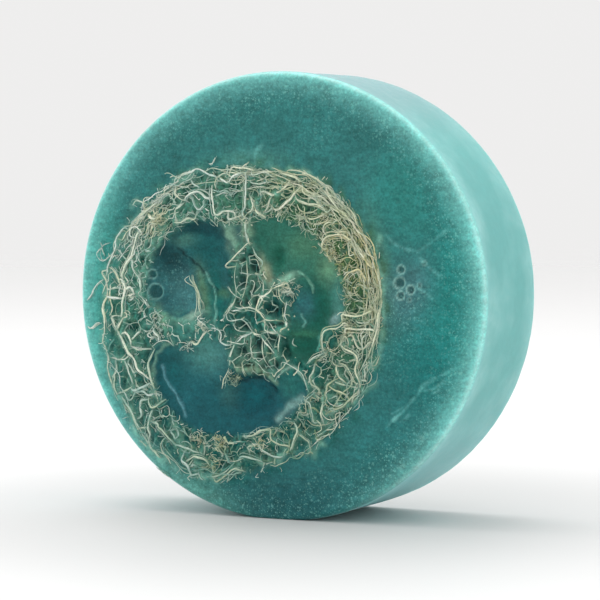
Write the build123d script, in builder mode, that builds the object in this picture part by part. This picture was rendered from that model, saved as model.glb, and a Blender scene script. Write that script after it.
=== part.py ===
"""Round cast soap puck with a slice of loofah set in it, standing on its rim.

The puck's axis lies along Y and the poured face, where the loofah shows, looks towards -Y.
The origin is on the surface that the puck stands on, below the middle of its box. Millimetres.

The loofah slice divides the casting. Its hoop wall is a ring of three layers, and three septa
run from that wall to a core, with a seed chamber between each two. Soap fills the chambers and
everything outside the wall.
"""

import os
from math import hypot

from build123d import *

# Driving dimensions
puck_diameter = 76.0
puck_thickness = 23.0  # from the poured face to the mould face
rest_flat_width = 10.0  # the rim is worn flat where the puck stands
poured_rim_radius = 1.2  # rounding of the rim on the poured face
mould_rim_radius = 0.8  # rounding of the rim on the mould face
wall_stands_proud = 0.6  # the outer fibres stand this far out of the poured face

# Layers of the loofah's hoop wall, measured along the line to the loofah's middle
outer_mat_thickness = 2.4
inner_lining_thickness = 1.6

# How far the front of each piece lies behind (+) or in front of (-) the poured face
middle_web_recess = -0.3
lining_recess = -0.45
septum_recess = 0.3
core_recess = 0.1
chamber_recess = 0.9

puck_radius = puck_diameter / 2
axis_height = (puck_radius**2 - (rest_flat_width / 2) ** 2) ** 0.5
overall_depth = puck_thickness + wall_stands_proud
back_y = overall_depth / 2
poured_y = back_y - puck_thickness

# Outlines on the poured face, as X and Z from the puck's axis, seen from the front
loofah_middle = (-7.3, -5.0)
loofah_outline = [
    (0.0, 21.8),
    (8.5, 19.0),
    (15.0, 13.0),
    (18.8, 3.5),
    (18.4, -8.0),
    (13.5, -19.5),
    (3.0, -27.2),
    (-10.0, -31.2),
    (-22.5, -28.0),
    (-31.0, -17.5),
    (-33.4, -3.0),
    (-29.5, 9.8),
    (-21.0, 18.8),
    (-10.5, 22.0),
]
wall_inside = [
    (-6.0, 12.6),
    (3.0, 12.6),
    (9.0, 7.5),
    (12.0, 0.0),
    (10.5, -8.0),
    (6.0, -16.0),
    (-1.0, -22.2),
    (-10.0, -24.2),
    (-18.5, -22.3),
    (-24.3, -15.0),
    (-26.0, -5.0),
    (-25.2, 4.0),
    (-21.0, 10.5),
    (-14.0, 12.8),
]

# Each seed chamber's outline runs out past the wall's inside, which cuts it off there
upper_left_chamber = [
    (-7.2, 14.5),
    (-7.4, 10.0),
    (-9.6, 5.5),
    (-9.2, 0.5),
    (-12.5, -4.2),
    (-19.0, -4.4),
    (-24.0, -1.5),
    (-28.0, 4.0),
    (-23.0, 13.0),
    (-14.0, 15.5),
]
upper_right_chamber = [
    (-5.4, 14.5),
    (-4.8, 8.5),
    (-1.2, 3.2),
    (2.6, 1.8),
    (2.2, -5.0),
    (1.4, -9.4),
    (5.2, -10.8),
    (8.0, -6.4),
    (13.5, -4.5),
    (14.0, 3.0),
    (9.5, 12.5),
    (2.0, 15.0),
]
lower_chamber = [
    (-21.5, -8.4),
    (-15.0, -8.2),
    (-10.4, -8.4),
    (-9.2, -12.4),
    (-5.0, -13.9),
    (-0.8, -13.8),
    (2.2, -12.8),
    (4.9, -15.0),
    (4.5, -21.0),
    (-3.0, -26.5),
    (-13.0, -27.0),
    (-22.5, -23.5),
    (-28.0, -15.0),
    (-25.0, -9.8),
]
chambers = [upper_left_chamber, upper_right_chamber, lower_chamber]

# Round dishes left in the soap of each chamber as it shrank: X, Z, radius at the mouth, depth
upper_left_dishes = [(-14.6, 7.4, 5.0, 1.6), (-20.3, 1.6, 4.6, 2.0)]
upper_right_dishes = [(3.0, 8.0, 4.4, 1.2), (6.4, -1.2, 4.6, 2.2)]
lower_dishes = [(-16.6, -15.4, 5.6, 1.8), (-5.6, -18.6, 4.4, 2.2)]

core_centre = (-4.8, -4.4)
core_radius = 10.6

# Air bubbles that broke the poured face beside the loofah: X, Z, radius
open_bubbles = [
    (21.4, 4.6, 0.70),
    (22.6, 2.9, 0.85),
    (24.4, 1.8, 0.70),
    (22.7, 0.8, 0.60),
    (20.8, 2.9, 0.45),
]

mould_face = Plane((0, back_y, axis_height), x_dir=(1, 0, 0), z_dir=(0, -1, 0))


def moved_to_middle(points, distance):
    """The outline with each point moved that far towards the loofah's middle."""
    moved = []
    for x, z in points:
        across = loofah_middle[0] - x
        up = loofah_middle[1] - z
        share = distance / hypot(across, up)
        moved.append((x + share * across, z + share * up))
    return moved


def outline_face(points):
    """The face inside a smooth closed curve through the points, on the XY plane."""
    with BuildSketch(mode=Mode.PRIVATE) as face:
        with BuildLine():
            Spline(*points, periodic=True)
        make_face()
    return face.sketch


def ring_layer(outside, inside, recess, label):
    """One layer of the hoop wall, between two outlines, as deep as the puck less the recess."""
    with BuildPart() as layer:
        with BuildSketch(mould_face):
            add(outline_face(outside))
            add(outline_face(inside), mode=Mode.SUBTRACT)
        extrude(amount=puck_thickness - recess)
    layer.part.label = label
    return layer.part


def sphere_radius(mouth_radius, depth):
    """The radius of the sphere that cuts a dish with this mouth and depth."""
    return (mouth_radius**2 + depth**2) / (2 * depth)


def chamber_fill(chamber, dishes, label):
    """The soap in one seed chamber, with its shrunk, dished surface on the poured side."""
    with BuildPart() as fill:
        with BuildSketch(mould_face):
            add(outline_face(chamber))
            add(outline_face(wall_inside), mode=Mode.INTERSECT)
        extrude(amount=puck_thickness - chamber_recess)
        for x, z, mouth_radius, depth in dishes:
            radius = sphere_radius(mouth_radius, depth)
            centre_y = poured_y + chamber_recess + depth - radius
            with Locations((x, centre_y, axis_height + z)):
                Sphere(radius, mode=Mode.SUBTRACT)
    fill.part.label = label
    return fill.part


def partition(inside_core, side, recess, label):
    """The core, or the septum on one side of it: what the chambers leave inside the wall."""
    with BuildPart() as piece:
        with BuildSketch(mould_face):
            add(outline_face(wall_inside))
            for chamber in chambers:
                add(outline_face(chamber), mode=Mode.SUBTRACT)
            with Locations(core_centre):
                Circle(core_radius, mode=Mode.INTERSECT if inside_core else Mode.SUBTRACT)
            if side is not None:
                with Locations(side):
                    Rectangle(2 * core_radius, 2 * core_radius, mode=Mode.INTERSECT)
        extrude(amount=puck_thickness - recess)
    piece.part.label = label
    return piece.part


# The soap outside the loofah: a disc with rounded rims, a worn flat and the slice's hole
with BuildPart() as soap_ring:
    with BuildSketch(mould_face):
        Circle(puck_radius)
    extrude(amount=puck_thickness)
    rims = soap_ring.edges().filter_by(GeomType.CIRCLE).sort_by(Axis.Y)
    fillet(rims[0], poured_rim_radius)
    rims = soap_ring.edges().filter_by(GeomType.CIRCLE).sort_by(Axis.Y)
    fillet(rims[-1], mould_rim_radius)
    split(bisect_by=Plane.XY, keep=Keep.TOP)
    with BuildSketch(mould_face):
        add(outline_face(loofah_outline))
    extrude(amount=puck_thickness, mode=Mode.SUBTRACT)
    for x, z, radius in open_bubbles:
        with Locations((x, poured_y, axis_height + z)):
            Sphere(radius, mode=Mode.SUBTRACT)
soap_ring.part.label = "soap_ring"

middle_outside = moved_to_middle(loofah_outline, outer_mat_thickness)
lining_outside = moved_to_middle(wall_inside, -inner_lining_thickness)

pieces = [
    soap_ring.part,
    ring_layer(loofah_outline, middle_outside, -wall_stands_proud, "loofah_outer_mat"),
    ring_layer(middle_outside, lining_outside, middle_web_recess, "loofah_middle_web"),
    ring_layer(lining_outside, wall_inside, lining_recess, "loofah_inner_lining"),
    partition(False, (-6.0, 12.0), septum_recess, "loofah_top_septum"),
    partition(False, (-24.0, -6.5), septum_recess, "loofah_left_septum"),
    partition(False, (14.0, -16.0), septum_recess, "loofah_right_septum"),
    partition(True, None, core_recess, "loofah_core"),
    chamber_fill(upper_left_chamber, upper_left_dishes, "soap_fill_upper_left"),
    chamber_fill(upper_right_chamber, upper_right_dishes, "soap_fill_upper_right"),
    chamber_fill(lower_chamber, lower_dishes, "soap_fill_lower"),
]

os.makedirs("parts", exist_ok=True)
for piece in pieces:
    export_step(piece, f"parts/{piece.label}.step")
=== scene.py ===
"""The looks of a round teal glycerine soap with a slice of loofah cast into it.

Lengths are in millimetres inside this script and in metres in Blender. Places on the poured
face are X and Z from the puck's axis, and depth is how far behind the poured face a point lies.
"""

import math

import bpy
import numpy as np
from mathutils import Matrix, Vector
from mathutils.geometry import delaunay_2d_cdt


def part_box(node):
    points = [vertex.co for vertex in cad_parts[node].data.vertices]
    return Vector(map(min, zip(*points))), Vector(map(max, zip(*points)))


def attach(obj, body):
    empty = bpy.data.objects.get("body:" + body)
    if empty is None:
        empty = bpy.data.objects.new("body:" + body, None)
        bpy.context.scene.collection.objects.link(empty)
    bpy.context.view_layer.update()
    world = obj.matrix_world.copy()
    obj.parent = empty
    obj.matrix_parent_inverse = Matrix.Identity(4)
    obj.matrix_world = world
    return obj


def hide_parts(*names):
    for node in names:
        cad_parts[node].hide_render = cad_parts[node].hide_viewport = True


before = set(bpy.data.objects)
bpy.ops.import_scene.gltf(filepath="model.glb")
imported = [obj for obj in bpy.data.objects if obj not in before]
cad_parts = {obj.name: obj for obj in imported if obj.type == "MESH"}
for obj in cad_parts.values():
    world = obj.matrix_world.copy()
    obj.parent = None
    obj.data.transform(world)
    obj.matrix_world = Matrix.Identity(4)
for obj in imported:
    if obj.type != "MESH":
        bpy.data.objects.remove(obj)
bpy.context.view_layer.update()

MM = 0.001

# The puck, measured on the frame
ring_low, ring_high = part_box("soap_ring")
RADIUS = (ring_high.x - ring_low.x) / 2 / MM
POURED_Y = ring_low.y / MM
BACK_Y = ring_high.y / MM
AXIS_Z = ring_high.z / MM - RADIUS
FRONT_ROUNDING = 1.2
BACK_ROUNDING = 0.8

# The loofah slice
SLICE_SHIFT = 0.45  # the slice sits this far right of its places as listed
SLICE_MIDDLE = (-7.3, -5.0)
CORE_CENTRE = (-4.8, -4.4)
CORE_RADIUS = 10.6


# ---------------------------------------------------------------- outlines and distances

ON_BACK = 0.002  # a corner this close to the flat back lies on it


def outline_of(name):
    """The outlines of a node's flat back, as arrays of X and Z from the axis, longest first."""
    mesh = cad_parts[name].data
    sides = {}
    for polygon in mesh.polygons:
        corners = [mesh.vertices[i].co / MM for i in polygon.vertices]
        if any(abs(corner.y - BACK_Y) > ON_BACK for corner in corners):
            continue
        keys = [(round(corner.x, 3), round(corner.z - AXIS_Z, 3)) for corner in corners]
        # A side that two polygons share, once each way, isn't part of an outline
        for start, end in zip(keys, keys[1:] + keys[:1]):
            if (end, start) in sides:
                del sides[(end, start)]
            else:
                sides[(start, end)] = True
    following = {start: end for start, end in sides}
    loops = []
    while following:
        start, here = following.popitem()
        loop = [start]
        while here != start:
            loop.append(here)
            here = following.pop(here)
        loops.append(np.array(loop))
    return sorted(loops, key=lambda loop: -np.ptp(loop[:, 0]))


def line_distance(x, z, points):
    """The distance from each place to an open line through the points."""
    nearest = np.full(np.shape(x), np.inf)
    for (ax, az), (bx, bz) in zip(points[:-1], points[1:]):
        run_x, run_z = bx - ax, bz - az
        share = ((x - ax) * run_x + (z - az) * run_z) / max(run_x**2 + run_z**2, 1e-9)
        share = np.clip(share, 0, 1)
        away = np.hypot(x - ax - share * run_x, z - az - share * run_z)
        nearest = np.minimum(nearest, away)
    return nearest


def inside_distance(x, z, loop):
    """The distance from each place to a closed outline, positive inside it."""
    inside = np.zeros(np.shape(x), bool)
    for (ax, az), (bx, bz) in zip(loop, np.roll(loop, -1, axis=0)):
        if az == bz:
            continue
        crosses = (az > z) != (bz > z)
        inside ^= crosses & (x < ax + (z - az) * (bx - ax) / (bz - az))
    closed = np.vstack([loop, loop[:1]])
    away = line_distance(x, z, closed)
    return np.where(inside, away, -away)


def smooth(value, low, high):
    """0 below low, 1 above high, and a smooth step between."""
    share = np.clip((value - low) / (high - low), 0, 1)
    return share * share * (3 - 2 * share)


def fading(away, reach):
    """1 where the distance is 0, falling smoothly to about a third at the reach and on to 0."""
    return np.exp(-((away / reach) ** 2))


def turned(angle, heading):
    """How far an angle in radians is turned from a heading in degrees, either way round."""
    return (angle - math.radians(heading) + math.pi) % (2 * math.pi) - math.pi


def waves(x, z, size, seed, count=14):
    """Smooth noise of about -1 to 1 with features of this size, from plane waves."""
    draw = np.random.default_rng(seed)
    total = np.zeros(np.shape(x))
    for _ in range(count):
        heading = draw.uniform(0, 2 * math.pi)
        pitch = 2 * math.pi / size * draw.uniform(0.6, 1.5)
        phase = draw.uniform(0, 2 * math.pi)
        total += np.cos(pitch * (x * math.cos(heading) + z * math.sin(heading)) + phase)
    return total / math.sqrt(count)


def curve_through(points, spacing=0.35):
    """Evenly spaced points on a smooth curve through the points, of any dimension."""
    points = np.asarray(points, float)
    padded = np.vstack([2 * points[0] - points[1], points, 2 * points[-1] - points[-2]])
    made = []
    for before, start, end, after in zip(padded, padded[1:], padded[2:], padded[3:]):
        steps = max(2, int(np.linalg.norm(end - start) / spacing) + 1)
        for t in np.linspace(0, 1, steps, endpoint=False):
            bend = 2 * before - 5 * start + 4 * end - after
            twist = 3 * start - before - 3 * end + after
            made.append(start + 0.5 * (t * (end - before) + t**2 * bend + t**3 * twist))
    made.append(points[-1])
    return np.array(made)


class Field:
    """A measure of the face, worked out once on a grid and looked up between its points."""

    STEP = 0.4
    REACH = 39.0

    def __init__(self, measure):
        ticks = np.arange(-self.REACH, self.REACH + self.STEP, self.STEP)
        x, z = np.meshgrid(ticks, ticks, indexing="ij")
        self.values = measure(x.ravel(), z.ravel()).reshape(x.shape)

    def __call__(self, x, z):
        last = len(self.values) - 1.001
        column = np.clip((np.asarray(x) + self.REACH) / self.STEP, 0, last)
        row = np.clip((np.asarray(z) + self.REACH) / self.STEP, 0, last)
        i, j = column.astype(int), row.astype(int)
        u, v = column - i, row - j
        low = self.values[i, j] * (1 - u) + self.values[i + 1, j] * u
        high = self.values[i, j + 1] * (1 - u) + self.values[i + 1, j + 1] * u
        return low * (1 - v) + high * v


def inside_field(loop):
    """The distance inside a closed outline, as a field."""
    return Field(lambda x, z: inside_distance(x, z, loop))


hoop_outside = outline_of("loofah_outer_mat")[0]
hoop_inside = outline_of("loofah_inner_lining")[1]
MIDDLE = hoop_inside.mean(axis=0)
in_hoop = inside_field(hoop_outside)
in_middle = inside_field(hoop_inside)
in_chambers = [
    inside_field(outline_of("soap_fill_" + name)[0])
    for name in ("upper_left", "upper_right", "lower")
]


def in_chamber(x, z):
    """The distance inside whichever seed chamber is nearest."""
    return np.maximum.reduce([field(x, z) for field in in_chambers])


# ---------------------------------------------------------------- the loofah's main strands

# Each strand: its width, how soaked it looks from 0 to 1, and the places that it runs through
HOOP_STRANDS = [
    # Upper left
    (0.30, 0.15, [(-28.1, 15.1), (-27.1, 16.1), (-24.6, 15.3)]),
    (0.35, 0.00, [(-22.7, 16.1), (-25.1, 14.6), (-27.0, 13.1), (-27.7, 12.3)]),
    (0.30, 0.25, [(-22.3, 16.4), (-25.3, 14.1), (-26.9, 12.7)]),
    (0.45, 0.00, [(-25.1, 13.9), (-23.9, 13.1), (-22.0, 13.2)]),
    (0.35, 0.00, [(-28.2, 10.0), (-28.1, 11.1), (-27.3, 11.6), (-26.4, 11.2), (-25.9, 10.4)]),
    (0.50, 0.00, [(-26.9, 10.3), (-27.4, 9.1), (-28.2, 6.7), (-29.6, 4.7), (-30.0, 3.2)]),
    (0.35, 0.30, [(-28.4, 11.3), (-29.0, 10.6), (-30.0, 9.2)]),
    (0.40, 0.10, [(-29.6, 11.3), (-31.1, 9.1), (-31.2, 7.7), (-32.6, 5.1), (-33.1, 2.8)]),
    (0.30, 0.35, [(-30.6, 7.3), (-29.7, 6.3), (-29.1, 5.6)]),
    (0.40, 0.30, [(-28.1, 5.6), (-27.9, 4.4), (-27.2, 3.3)]),
    (0.35, 0.10, [(-25.0, 15.4), (-22.4, 16.7), (-21.3, 18.0), (-18.6, 19.7), (-17.0, 20.3)]),
    (0.45, 0.00, [(-19.7, 19.7), (-17.0, 20.9), (-15.3, 21.6), (-13.1, 20.6), (-12.1, 20.4)]),
    (0.30, 0.30, [(-22.3, 16.1), (-20.1, 18.1), (-16.1, 20.3)]),
    (0.35, 0.15, [(-19.7, 18.7), (-19.3, 18.0), (-19.1, 16.9)]),
    (0.50, 0.00, [(-17.9, 16.0), (-17.1, 16.9), (-15.1, 17.7), (-13.6, 16.6), (-12.6, 16.4)]),
    (0.40, 0.05, [(-12.6, 18.9), (-12.4, 16.8), (-12.1, 15.0), (-11.7, 13.7)]),
    (0.30, 0.35, [(-16.7, 19.7), (-15.9, 19.0), (-14.7, 18.0)]),
    (0.25, 0.30, [(-16.1, 16.4), (-16.0, 15.4), (-14.8, 14.6), (-14.0, 15.3), (-14.1, 16.1)]),
    (0.40, 0.15, [(-19.7, 14.3), (-18.9, 15.1), (-18.1, 15.7)]),
    (0.35, 0.20, [(-20.0, 12.3), (-18.0, 12.6), (-17.0, 13.1), (-15.9, 13.0)]),
    (0.30, 0.30, [(-11.3, 20.3), (-11.9, 19.3), (-12.0, 18.1)]),
    # Top
    (0.35, 0.05, [(-9.4, 20.1), (-8.6, 21.7), (-7.0, 21.7), (-4.9, 21.6), (-4.0, 21.3)]),
    (0.35, 0.05, [(-10.4, 19.7), (-9.3, 19.3), (-8.3, 20.4), (-6.3, 21.1)]),
    (0.40, 0.10, [(-6.2, 20.3), (-6.1, 17.7), (-6.1, 15.4), (-6.6, 13.9), (-5.7, 13.0)]),
    (0.40, 0.15, [(-5.7, 17.3), (-4.6, 15.6), (-5.1, 14.3), (-5.7, 14.1)]),
    (0.50, 0.10, [(-4.6, 15.1), (-4.0, 14.4), (-2.6, 13.4)]),
    (0.45, 0.05, [(-4.6, 20.5), (-2.6, 21.0), (-0.7, 20.2)]),
    (0.40, 0.15, [(-5.7, 19.7), (-4.1, 19.0), (-1.7, 19.6), (-0.7, 20.0)]),
    (0.35, 0.45, [(-3.5, 18.7), (-3.4, 17.6), (-3.5, 16.1)]),
    (0.45, 0.05, [(-2.7, 17.7), (-0.9, 17.2), (0.3, 18.0), (1.9, 19.6)]),
    (0.35, 0.15, [(-1.4, 17.0), (-1.5, 16.1), (-1.9, 15.1)]),
    (0.50, 0.05, [(-1.1, 21.8), (0.9, 20.8), (3.0, 20.3), (4.4, 19.3)]),
    (0.45, 0.10, [(-10.7, 14.1), (-9.6, 14.4), (-8.3, 14.1)]),
    (0.40, 0.15, [(-9.4, 13.0), (-7.7, 13.4)]),
    (0.35, 0.35, [(-12.0, 17.0), (-9.9, 17.7), (-9.0, 17.0)]),
    # Upper right
    (0.45, 0.00, [(2.1, 20.0), (1.0, 18.4), (0.0, 17.6)]),
    (0.50, 0.00, [(4.6, 19.0), (3.3, 17.7), (1.7, 16.0), (0.0, 14.7)]),
    (0.40, 0.10, [(1.9, 21.4), (5.0, 20.9), (7.6, 19.3), (9.7, 17.3), (12.3, 14.3)]),
    (0.35, 0.15, [(4.7, 21.3), (7.9, 19.3), (10.6, 17.3), (13.0, 14.9), (13.7, 13.7)]),
    (0.45, 0.05, [(6.9, 19.3), (9.0, 17.4), (11.0, 15.0), (11.9, 14.0)]),
    (0.35, 0.10, [(6.0, 16.7), (8.0, 16.9), (9.1, 16.1), (11.3, 14.7)]),
    (0.45, 0.05, [(3.7, 16.4), (6.1, 15.7), (8.4, 15.1), (9.1, 14.3)]),
    (0.45, 0.10, [(5.0, 13.4), (6.1, 13.1), (7.9, 13.6)]),
    (0.40, 0.10, [(8.3, 11.4), (8.6, 12.3), (9.3, 12.7)]),
    (0.35, 0.20, [(10.0, 11.6), (11.1, 11.1), (12.3, 11.3), (13.1, 10.7)]),
    (0.35, 0.10, [(10.3, 11.9), (10.1, 12.4), (10.7, 12.9), (11.4, 13.0)]),
    # Right
    (0.45, 0.00, [(8.1, 8.7), (9.0, 10.1), (11.1, 10.7), (13.1, 10.0), (13.9, 9.6)]),
    (0.40, 0.05, [(9.1, 16.0), (12.7, 13.7), (15.3, 10.3), (17.3, 6.9), (18.6, 2.0)]),
    (0.30, 0.25, [(13.0, 14.6), (15.0, 12.6), (17.1, 8.6), (19.1, 3.7)]),
    (0.50, 0.00, [(13.7, 10.3), (14.6, 8.3), (16.1, 6.6), (16.4, 5.7)]),
    (0.40, 0.10, [(15.1, 8.0), (15.9, 6.9), (17.0, 5.4)]),
    (0.30, 0.60, [(18.7, 10.3), (18.1, 8.4), (17.6, 6.7)]),
    (0.45, 0.00, [(11.9, 3.1), (13.3, 4.3), (15.0, 4.8), (16.1, 3.4)]),
    (0.35, 0.10, [(14.1, 2.1), (14.7, 2.5), (16.0, 2.1)]),
    (0.40, 0.10, [(9.1, 8.3), (9.2, 7.4), (9.4, 6.1)]),
    (0.35, 0.20, [(13.0, 9.1), (13.1, 8.0), (13.3, 7.1)]),
    (0.45, 0.00, [(12.0, -2.7), (13.1, -2.9), (14.6, -2.9), (16.7, -2.2)]),
    (0.30, 0.15, [(14.1, -3.3), (15.0, -3.9), (16.9, -3.6), (15.9, -2.6)]),
    (0.50, 0.00, [(12.4, -5.4), (13.1, -5.0), (15.0, -5.1), (17.0, -5.0)]),
    (0.45, 0.00, [(8.4, -9.0), (8.2, -6.9), (8.9, -5.3), (11.3, -4.9), (12.4, -4.1)]),
    (0.30, 0.20, [(13.1, -7.4), (12.4, -6.3), (11.4, -7.9)]),
    (0.35, 0.15, [(13.9, -6.3), (14.7, -8.1), (15.6, -8.4), (16.9, -7.1)]),
    (0.55, 0.00, [(18.4, 5.0), (19.0, 0.1), (18.6, -2.6), (18.1, -6.1), (16.3, -9.9)]),
    (0.35, 0.35, [(19.4, 2.1), (19.1, -0.7), (19.4, -3.9), (18.7, -9.0), (17.9, -10.9)]),
    (0.30, 0.20, [(16.9, 0.0), (17.0, -0.9), (17.9, -2.0)]),
    (0.30, 0.15, [(16.7, 0.7), (16.5, 1.6), (17.5, 1.7), (17.6, 0.9), (16.9, 0.6)]),
    # Lower right
    (0.30, 0.05, [(5.0, -11.1), (6.6, -10.1), (8.9, -9.0)]),
    (0.30, 0.10, [(6.6, -10.7), (8.3, -9.8), (9.1, -9.4)]),
    (0.45, 0.00, [(12.1, -8.1), (14.3, -9.3), (14.7, -10.6), (14.3, -11.7), (15.1, -14.1), (15.0, -14.9)]),
    (0.45, 0.05, [(15.0, -14.9), (14.1, -15.9), (11.7, -18.1), (8.7, -19.6)]),
    (0.40, 0.20, [(16.4, -10.3), (17.1, -11.1), (15.9, -12.6)]),
    (0.45, 0.00, [(10.7, -11.1), (11.3, -12.9), (12.5, -14.2)]),
    (0.35, 0.10, [(10.9, -11.0), (12.3, -11.0), (13.4, -12.3), (14.7, -14.7)]),
    (0.40, 0.05, [(10.3, -14.1), (12.0, -14.4), (14.9, -14.9)]),
    (0.40, 0.05, [(8.4, -17.1), (9.1, -14.6), (11.1, -13.4)]),
    (0.40, 0.05, [(9.1, -14.6), (10.7, -15.4), (12.3, -15.9)]),
    (0.45, 0.00, [(8.4, -17.1), (8.2, -19.3), (8.4, -20.6)]),
    (0.35, 0.15, [(8.3, -19.6), (10.3, -18.6), (12.1, -17.9)]),
    (0.30, 0.20, [(9.1, -17.0), (10.7, -16.4), (10.9, -17.3), (10.3, -18.6)]),
    (0.35, 0.30, [(17.9, -14.1), (16.3, -15.0), (12.7, -18.1)]),
    (0.40, 0.05, [(6.5, -12.3), (5.9, -13.7)]),
    (0.35, 0.00, [(6.1, -14.6), (7.0, -14.9), (7.6, -15.6)]),
    (0.40, 0.10, [(5.3, -17.3), (5.9, -17.9), (6.5, -20.3), (6.6, -21.0)]),
    (0.30, 0.20, [(6.4, -15.4), (6.9, -16.4), (8.3, -17.1)]),
    # Bottom
    (0.35, 0.00, [(4.0, -19.4), (4.6, -19.8), (6.0, -19.4)]),
    (0.35, 0.15, [(7.3, -21.0), (7.9, -21.4), (9.3, -21.1), (10.0, -20.4)]),
    (0.35, 0.20, [(10.0, -21.3), (8.3, -22.7), (7.0, -23.6), (8.4, -24.6)]),
    (0.35, 0.00, [(4.3, -23.4), (4.9, -23.9), (5.6, -24.4)]),
    (0.50, 0.00, [(2.7, -21.1), (3.6, -22.7), (2.9, -24.4), (2.1, -26.1)]),
    (0.40, 0.05, [(-1.7, -22.6), (-1.4, -24.1), (0.1, -24.9), (1.7, -25.2)]),
    (0.40, 0.05, [(-4.0, -25.1), (-2.3, -26.4), (-0.1, -27.1), (2.0, -26.3)]),
    (0.30, 0.55, [(-4.0, -27.9), (-2.0, -28.0), (0.1, -28.0)]),
    (0.40, 0.15, [(5.3, -26.4), (6.0, -25.9), (6.6, -26.6), (7.0, -25.4)]),
    (0.50, 0.05, [(-18.0, -28.9), (-16.6, -28.0), (-15.0, -27.8), (-13.8, -28.2)]),
    (0.35, 0.20, [(-14.2, -25.4), (-14.2, -26.4), (-14.5, -27.4)]),
    (0.35, 0.15, [(-12.0, -25.4), (-10.8, -27.0), (-10.4, -27.9)]),
    (0.35, 0.20, [(-10.0, -25.8), (-10.1, -26.8), (-9.6, -28.2)]),
    (0.45, 0.00, [(-7.9, -28.4), (-6.7, -27.3), (-5.0, -27.5), (-3.0, -28.3)]),
    (0.40, 0.05, [(-5.7, -27.0), (-5.5, -26.2), (-5.6, -25.5)]),
    (0.35, 0.15, [(-8.4, -28.4), (-9.0, -29.2), (-11.0, -30.7), (-14.0, -31.2)]),
    (0.40, 0.05, [(-6.7, -29.8), (-8.2, -29.4), (-9.8, -30.6), (-11.7, -31.9)]),
    (0.30, 0.35, [(-12.7, -29.2), (-12.4, -30.0), (-12.2, -30.8)]),
    (0.30, 0.40, [(-15.2, -29.5), (-14.2, -29.5), (-13.2, -29.2)]),
    (0.35, 0.15, [(-15.2, -30.7), (-14.8, -31.3), (-14.2, -31.7)]),
    (0.45, 0.10, [(-7.0, -23.8), (-5.0, -23.7), (-3.0, -22.6)]),
    # Lower left
    (0.55, 0.05, [(-31.0, -17.6), (-28.6, -20.8), (-27.5, -24.3), (-25.0, -26.8), (-22.2, -29.2)]),
    (0.45, 0.05, [(-30.2, -18.0), (-28.0, -20.8), (-26.7, -23.4), (-25.0, -25.9)]),
    (0.50, 0.00, [(-24.3, -20.0), (-24.5, -21.0), (-25.0, -22.8), (-24.8, -24.0), (-25.1, -25.9)]),
    (0.35, 0.05, [(-25.0, -22.9), (-25.6, -23.2), (-27.0, -23.5)]),
    (0.50, 0.05, [(-26.4, -18.6), (-26.7, -19.8), (-26.3, -21.0)]),
    (0.60, 0.00, [(-25.0, -26.0), (-24.0, -27.0), (-22.6, -28.2)]),
    (0.50, 0.05, [(-23.1, -22.4), (-22.8, -23.1), (-21.4, -24.5), (-19.8, -26.1)]),
    (0.45, 0.05, [(-19.8, -26.1), (-19.0, -25.9), (-16.0, -26.8), (-14.6, -27.3)]),
    (0.30, 0.40, [(-19.6, -26.2), (-18.0, -27.0), (-17.0, -27.2)]),
    (0.35, 0.10, [(-20.5, -23.6), (-20.0, -24.2), (-19.4, -24.8)]),
    (0.35, 0.15, [(-20.4, -20.0), (-20.3, -22.0), (-19.4, -23.4), (-19.0, -24.2)]),
    (0.35, 0.20, [(-22.2, -25.2), (-22.5, -26.5), (-21.0, -28.6), (-19.6, -30.2)]),
    (0.45, 0.05, [(-18.4, -28.4), (-17.2, -29.2), (-16.7, -30.6), (-16.4, -31.0)]),
    (0.40, 0.05, [(-17.0, -29.4), (-16.5, -29.4), (-16.2, -29.1)]),
    (0.50, 0.00, [(-31.2, -6.4), (-29.2, -9.4), (-27.5, -11.6), (-26.9, -13.2), (-24.3, -15.0)]),
    (0.45, 0.05, [(-32.4, -11.2), (-31.0, -11.4), (-29.5, -11.4), (-28.8, -10.4)]),
    (0.50, 0.15, [(-31.4, -11.6), (-31.5, -14.4), (-31.6, -15.6), (-31.0, -17.6)]),
    (0.40, 0.05, [(-29.8, -11.6), (-28.8, -13.2), (-28.1, -15.0), (-28.1, -15.7)]),
    (0.40, 0.10, [(-29.4, -11.7), (-28.3, -13.0), (-27.8, -13.6), (-26.9, -13.2)]),
    (0.45, 0.05, [(-28.2, -16.0), (-29.4, -17.0), (-31.0, -17.4)]),
    (0.50, 0.00, [(-27.9, -16.9), (-26.2, -16.1), (-24.6, -15.3)]),
    (0.50, 0.00, [(-27.6, -17.1), (-26.3, -16.8), (-25.2, -17.5), (-23.4, -17.2)]),
    (0.45, 0.10, [(-25.1, -17.6), (-24.7, -19.2), (-23.8, -19.5), (-22.0, -18.2)]),
    (0.50, 0.20, [(-24.1, -9.6), (-24.8, -12.0), (-24.7, -13.6), (-24.0, -15.6)]),
    (0.40, 0.10, [(-28.6, -9.2), (-26.8, -9.6), (-24.6, -9.4)]),
    (0.45, 0.05, [(-29.3, -6.8), (-28.4, -8.2), (-28.5, -8.9)]),
    (0.40, 0.05, [(-28.4, -8.0), (-27.0, -7.0), (-26.4, -6.5)]),
    (0.35, 0.15, [(-29.6, -17.4), (-28.8, -18.5), (-28.3, -18.2)]),
    # Left
    (0.60, 0.00, [(-30.8, 2.2), (-30.0, 2.4), (-29.3, 1.0), (-29.9, -1.2), (-30.2, -4.0)]),
    (0.35, 0.05, [(-31.6, 4.0), (-30.8, 2.4), (-30.5, 1.8)]),
    (0.55, 0.00, [(-29.4, 0.8), (-28.7, 0.9), (-28.2, 1.1)]),
    (0.45, 0.00, [(-28.7, -0.4), (-28.0, -0.2), (-27.3, 0.1)]),
    (0.35, 0.10, [(-28.8, -0.8), (-28.4, -1.2)]),
    (0.45, 0.00, [(-32.0, 0.8), (-31.4, 1.0), (-30.0, 0.7)]),
    (0.45, 0.00, [(-33.2, -0.6), (-31.2, -0.8), (-30.0, -0.9)]),
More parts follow.
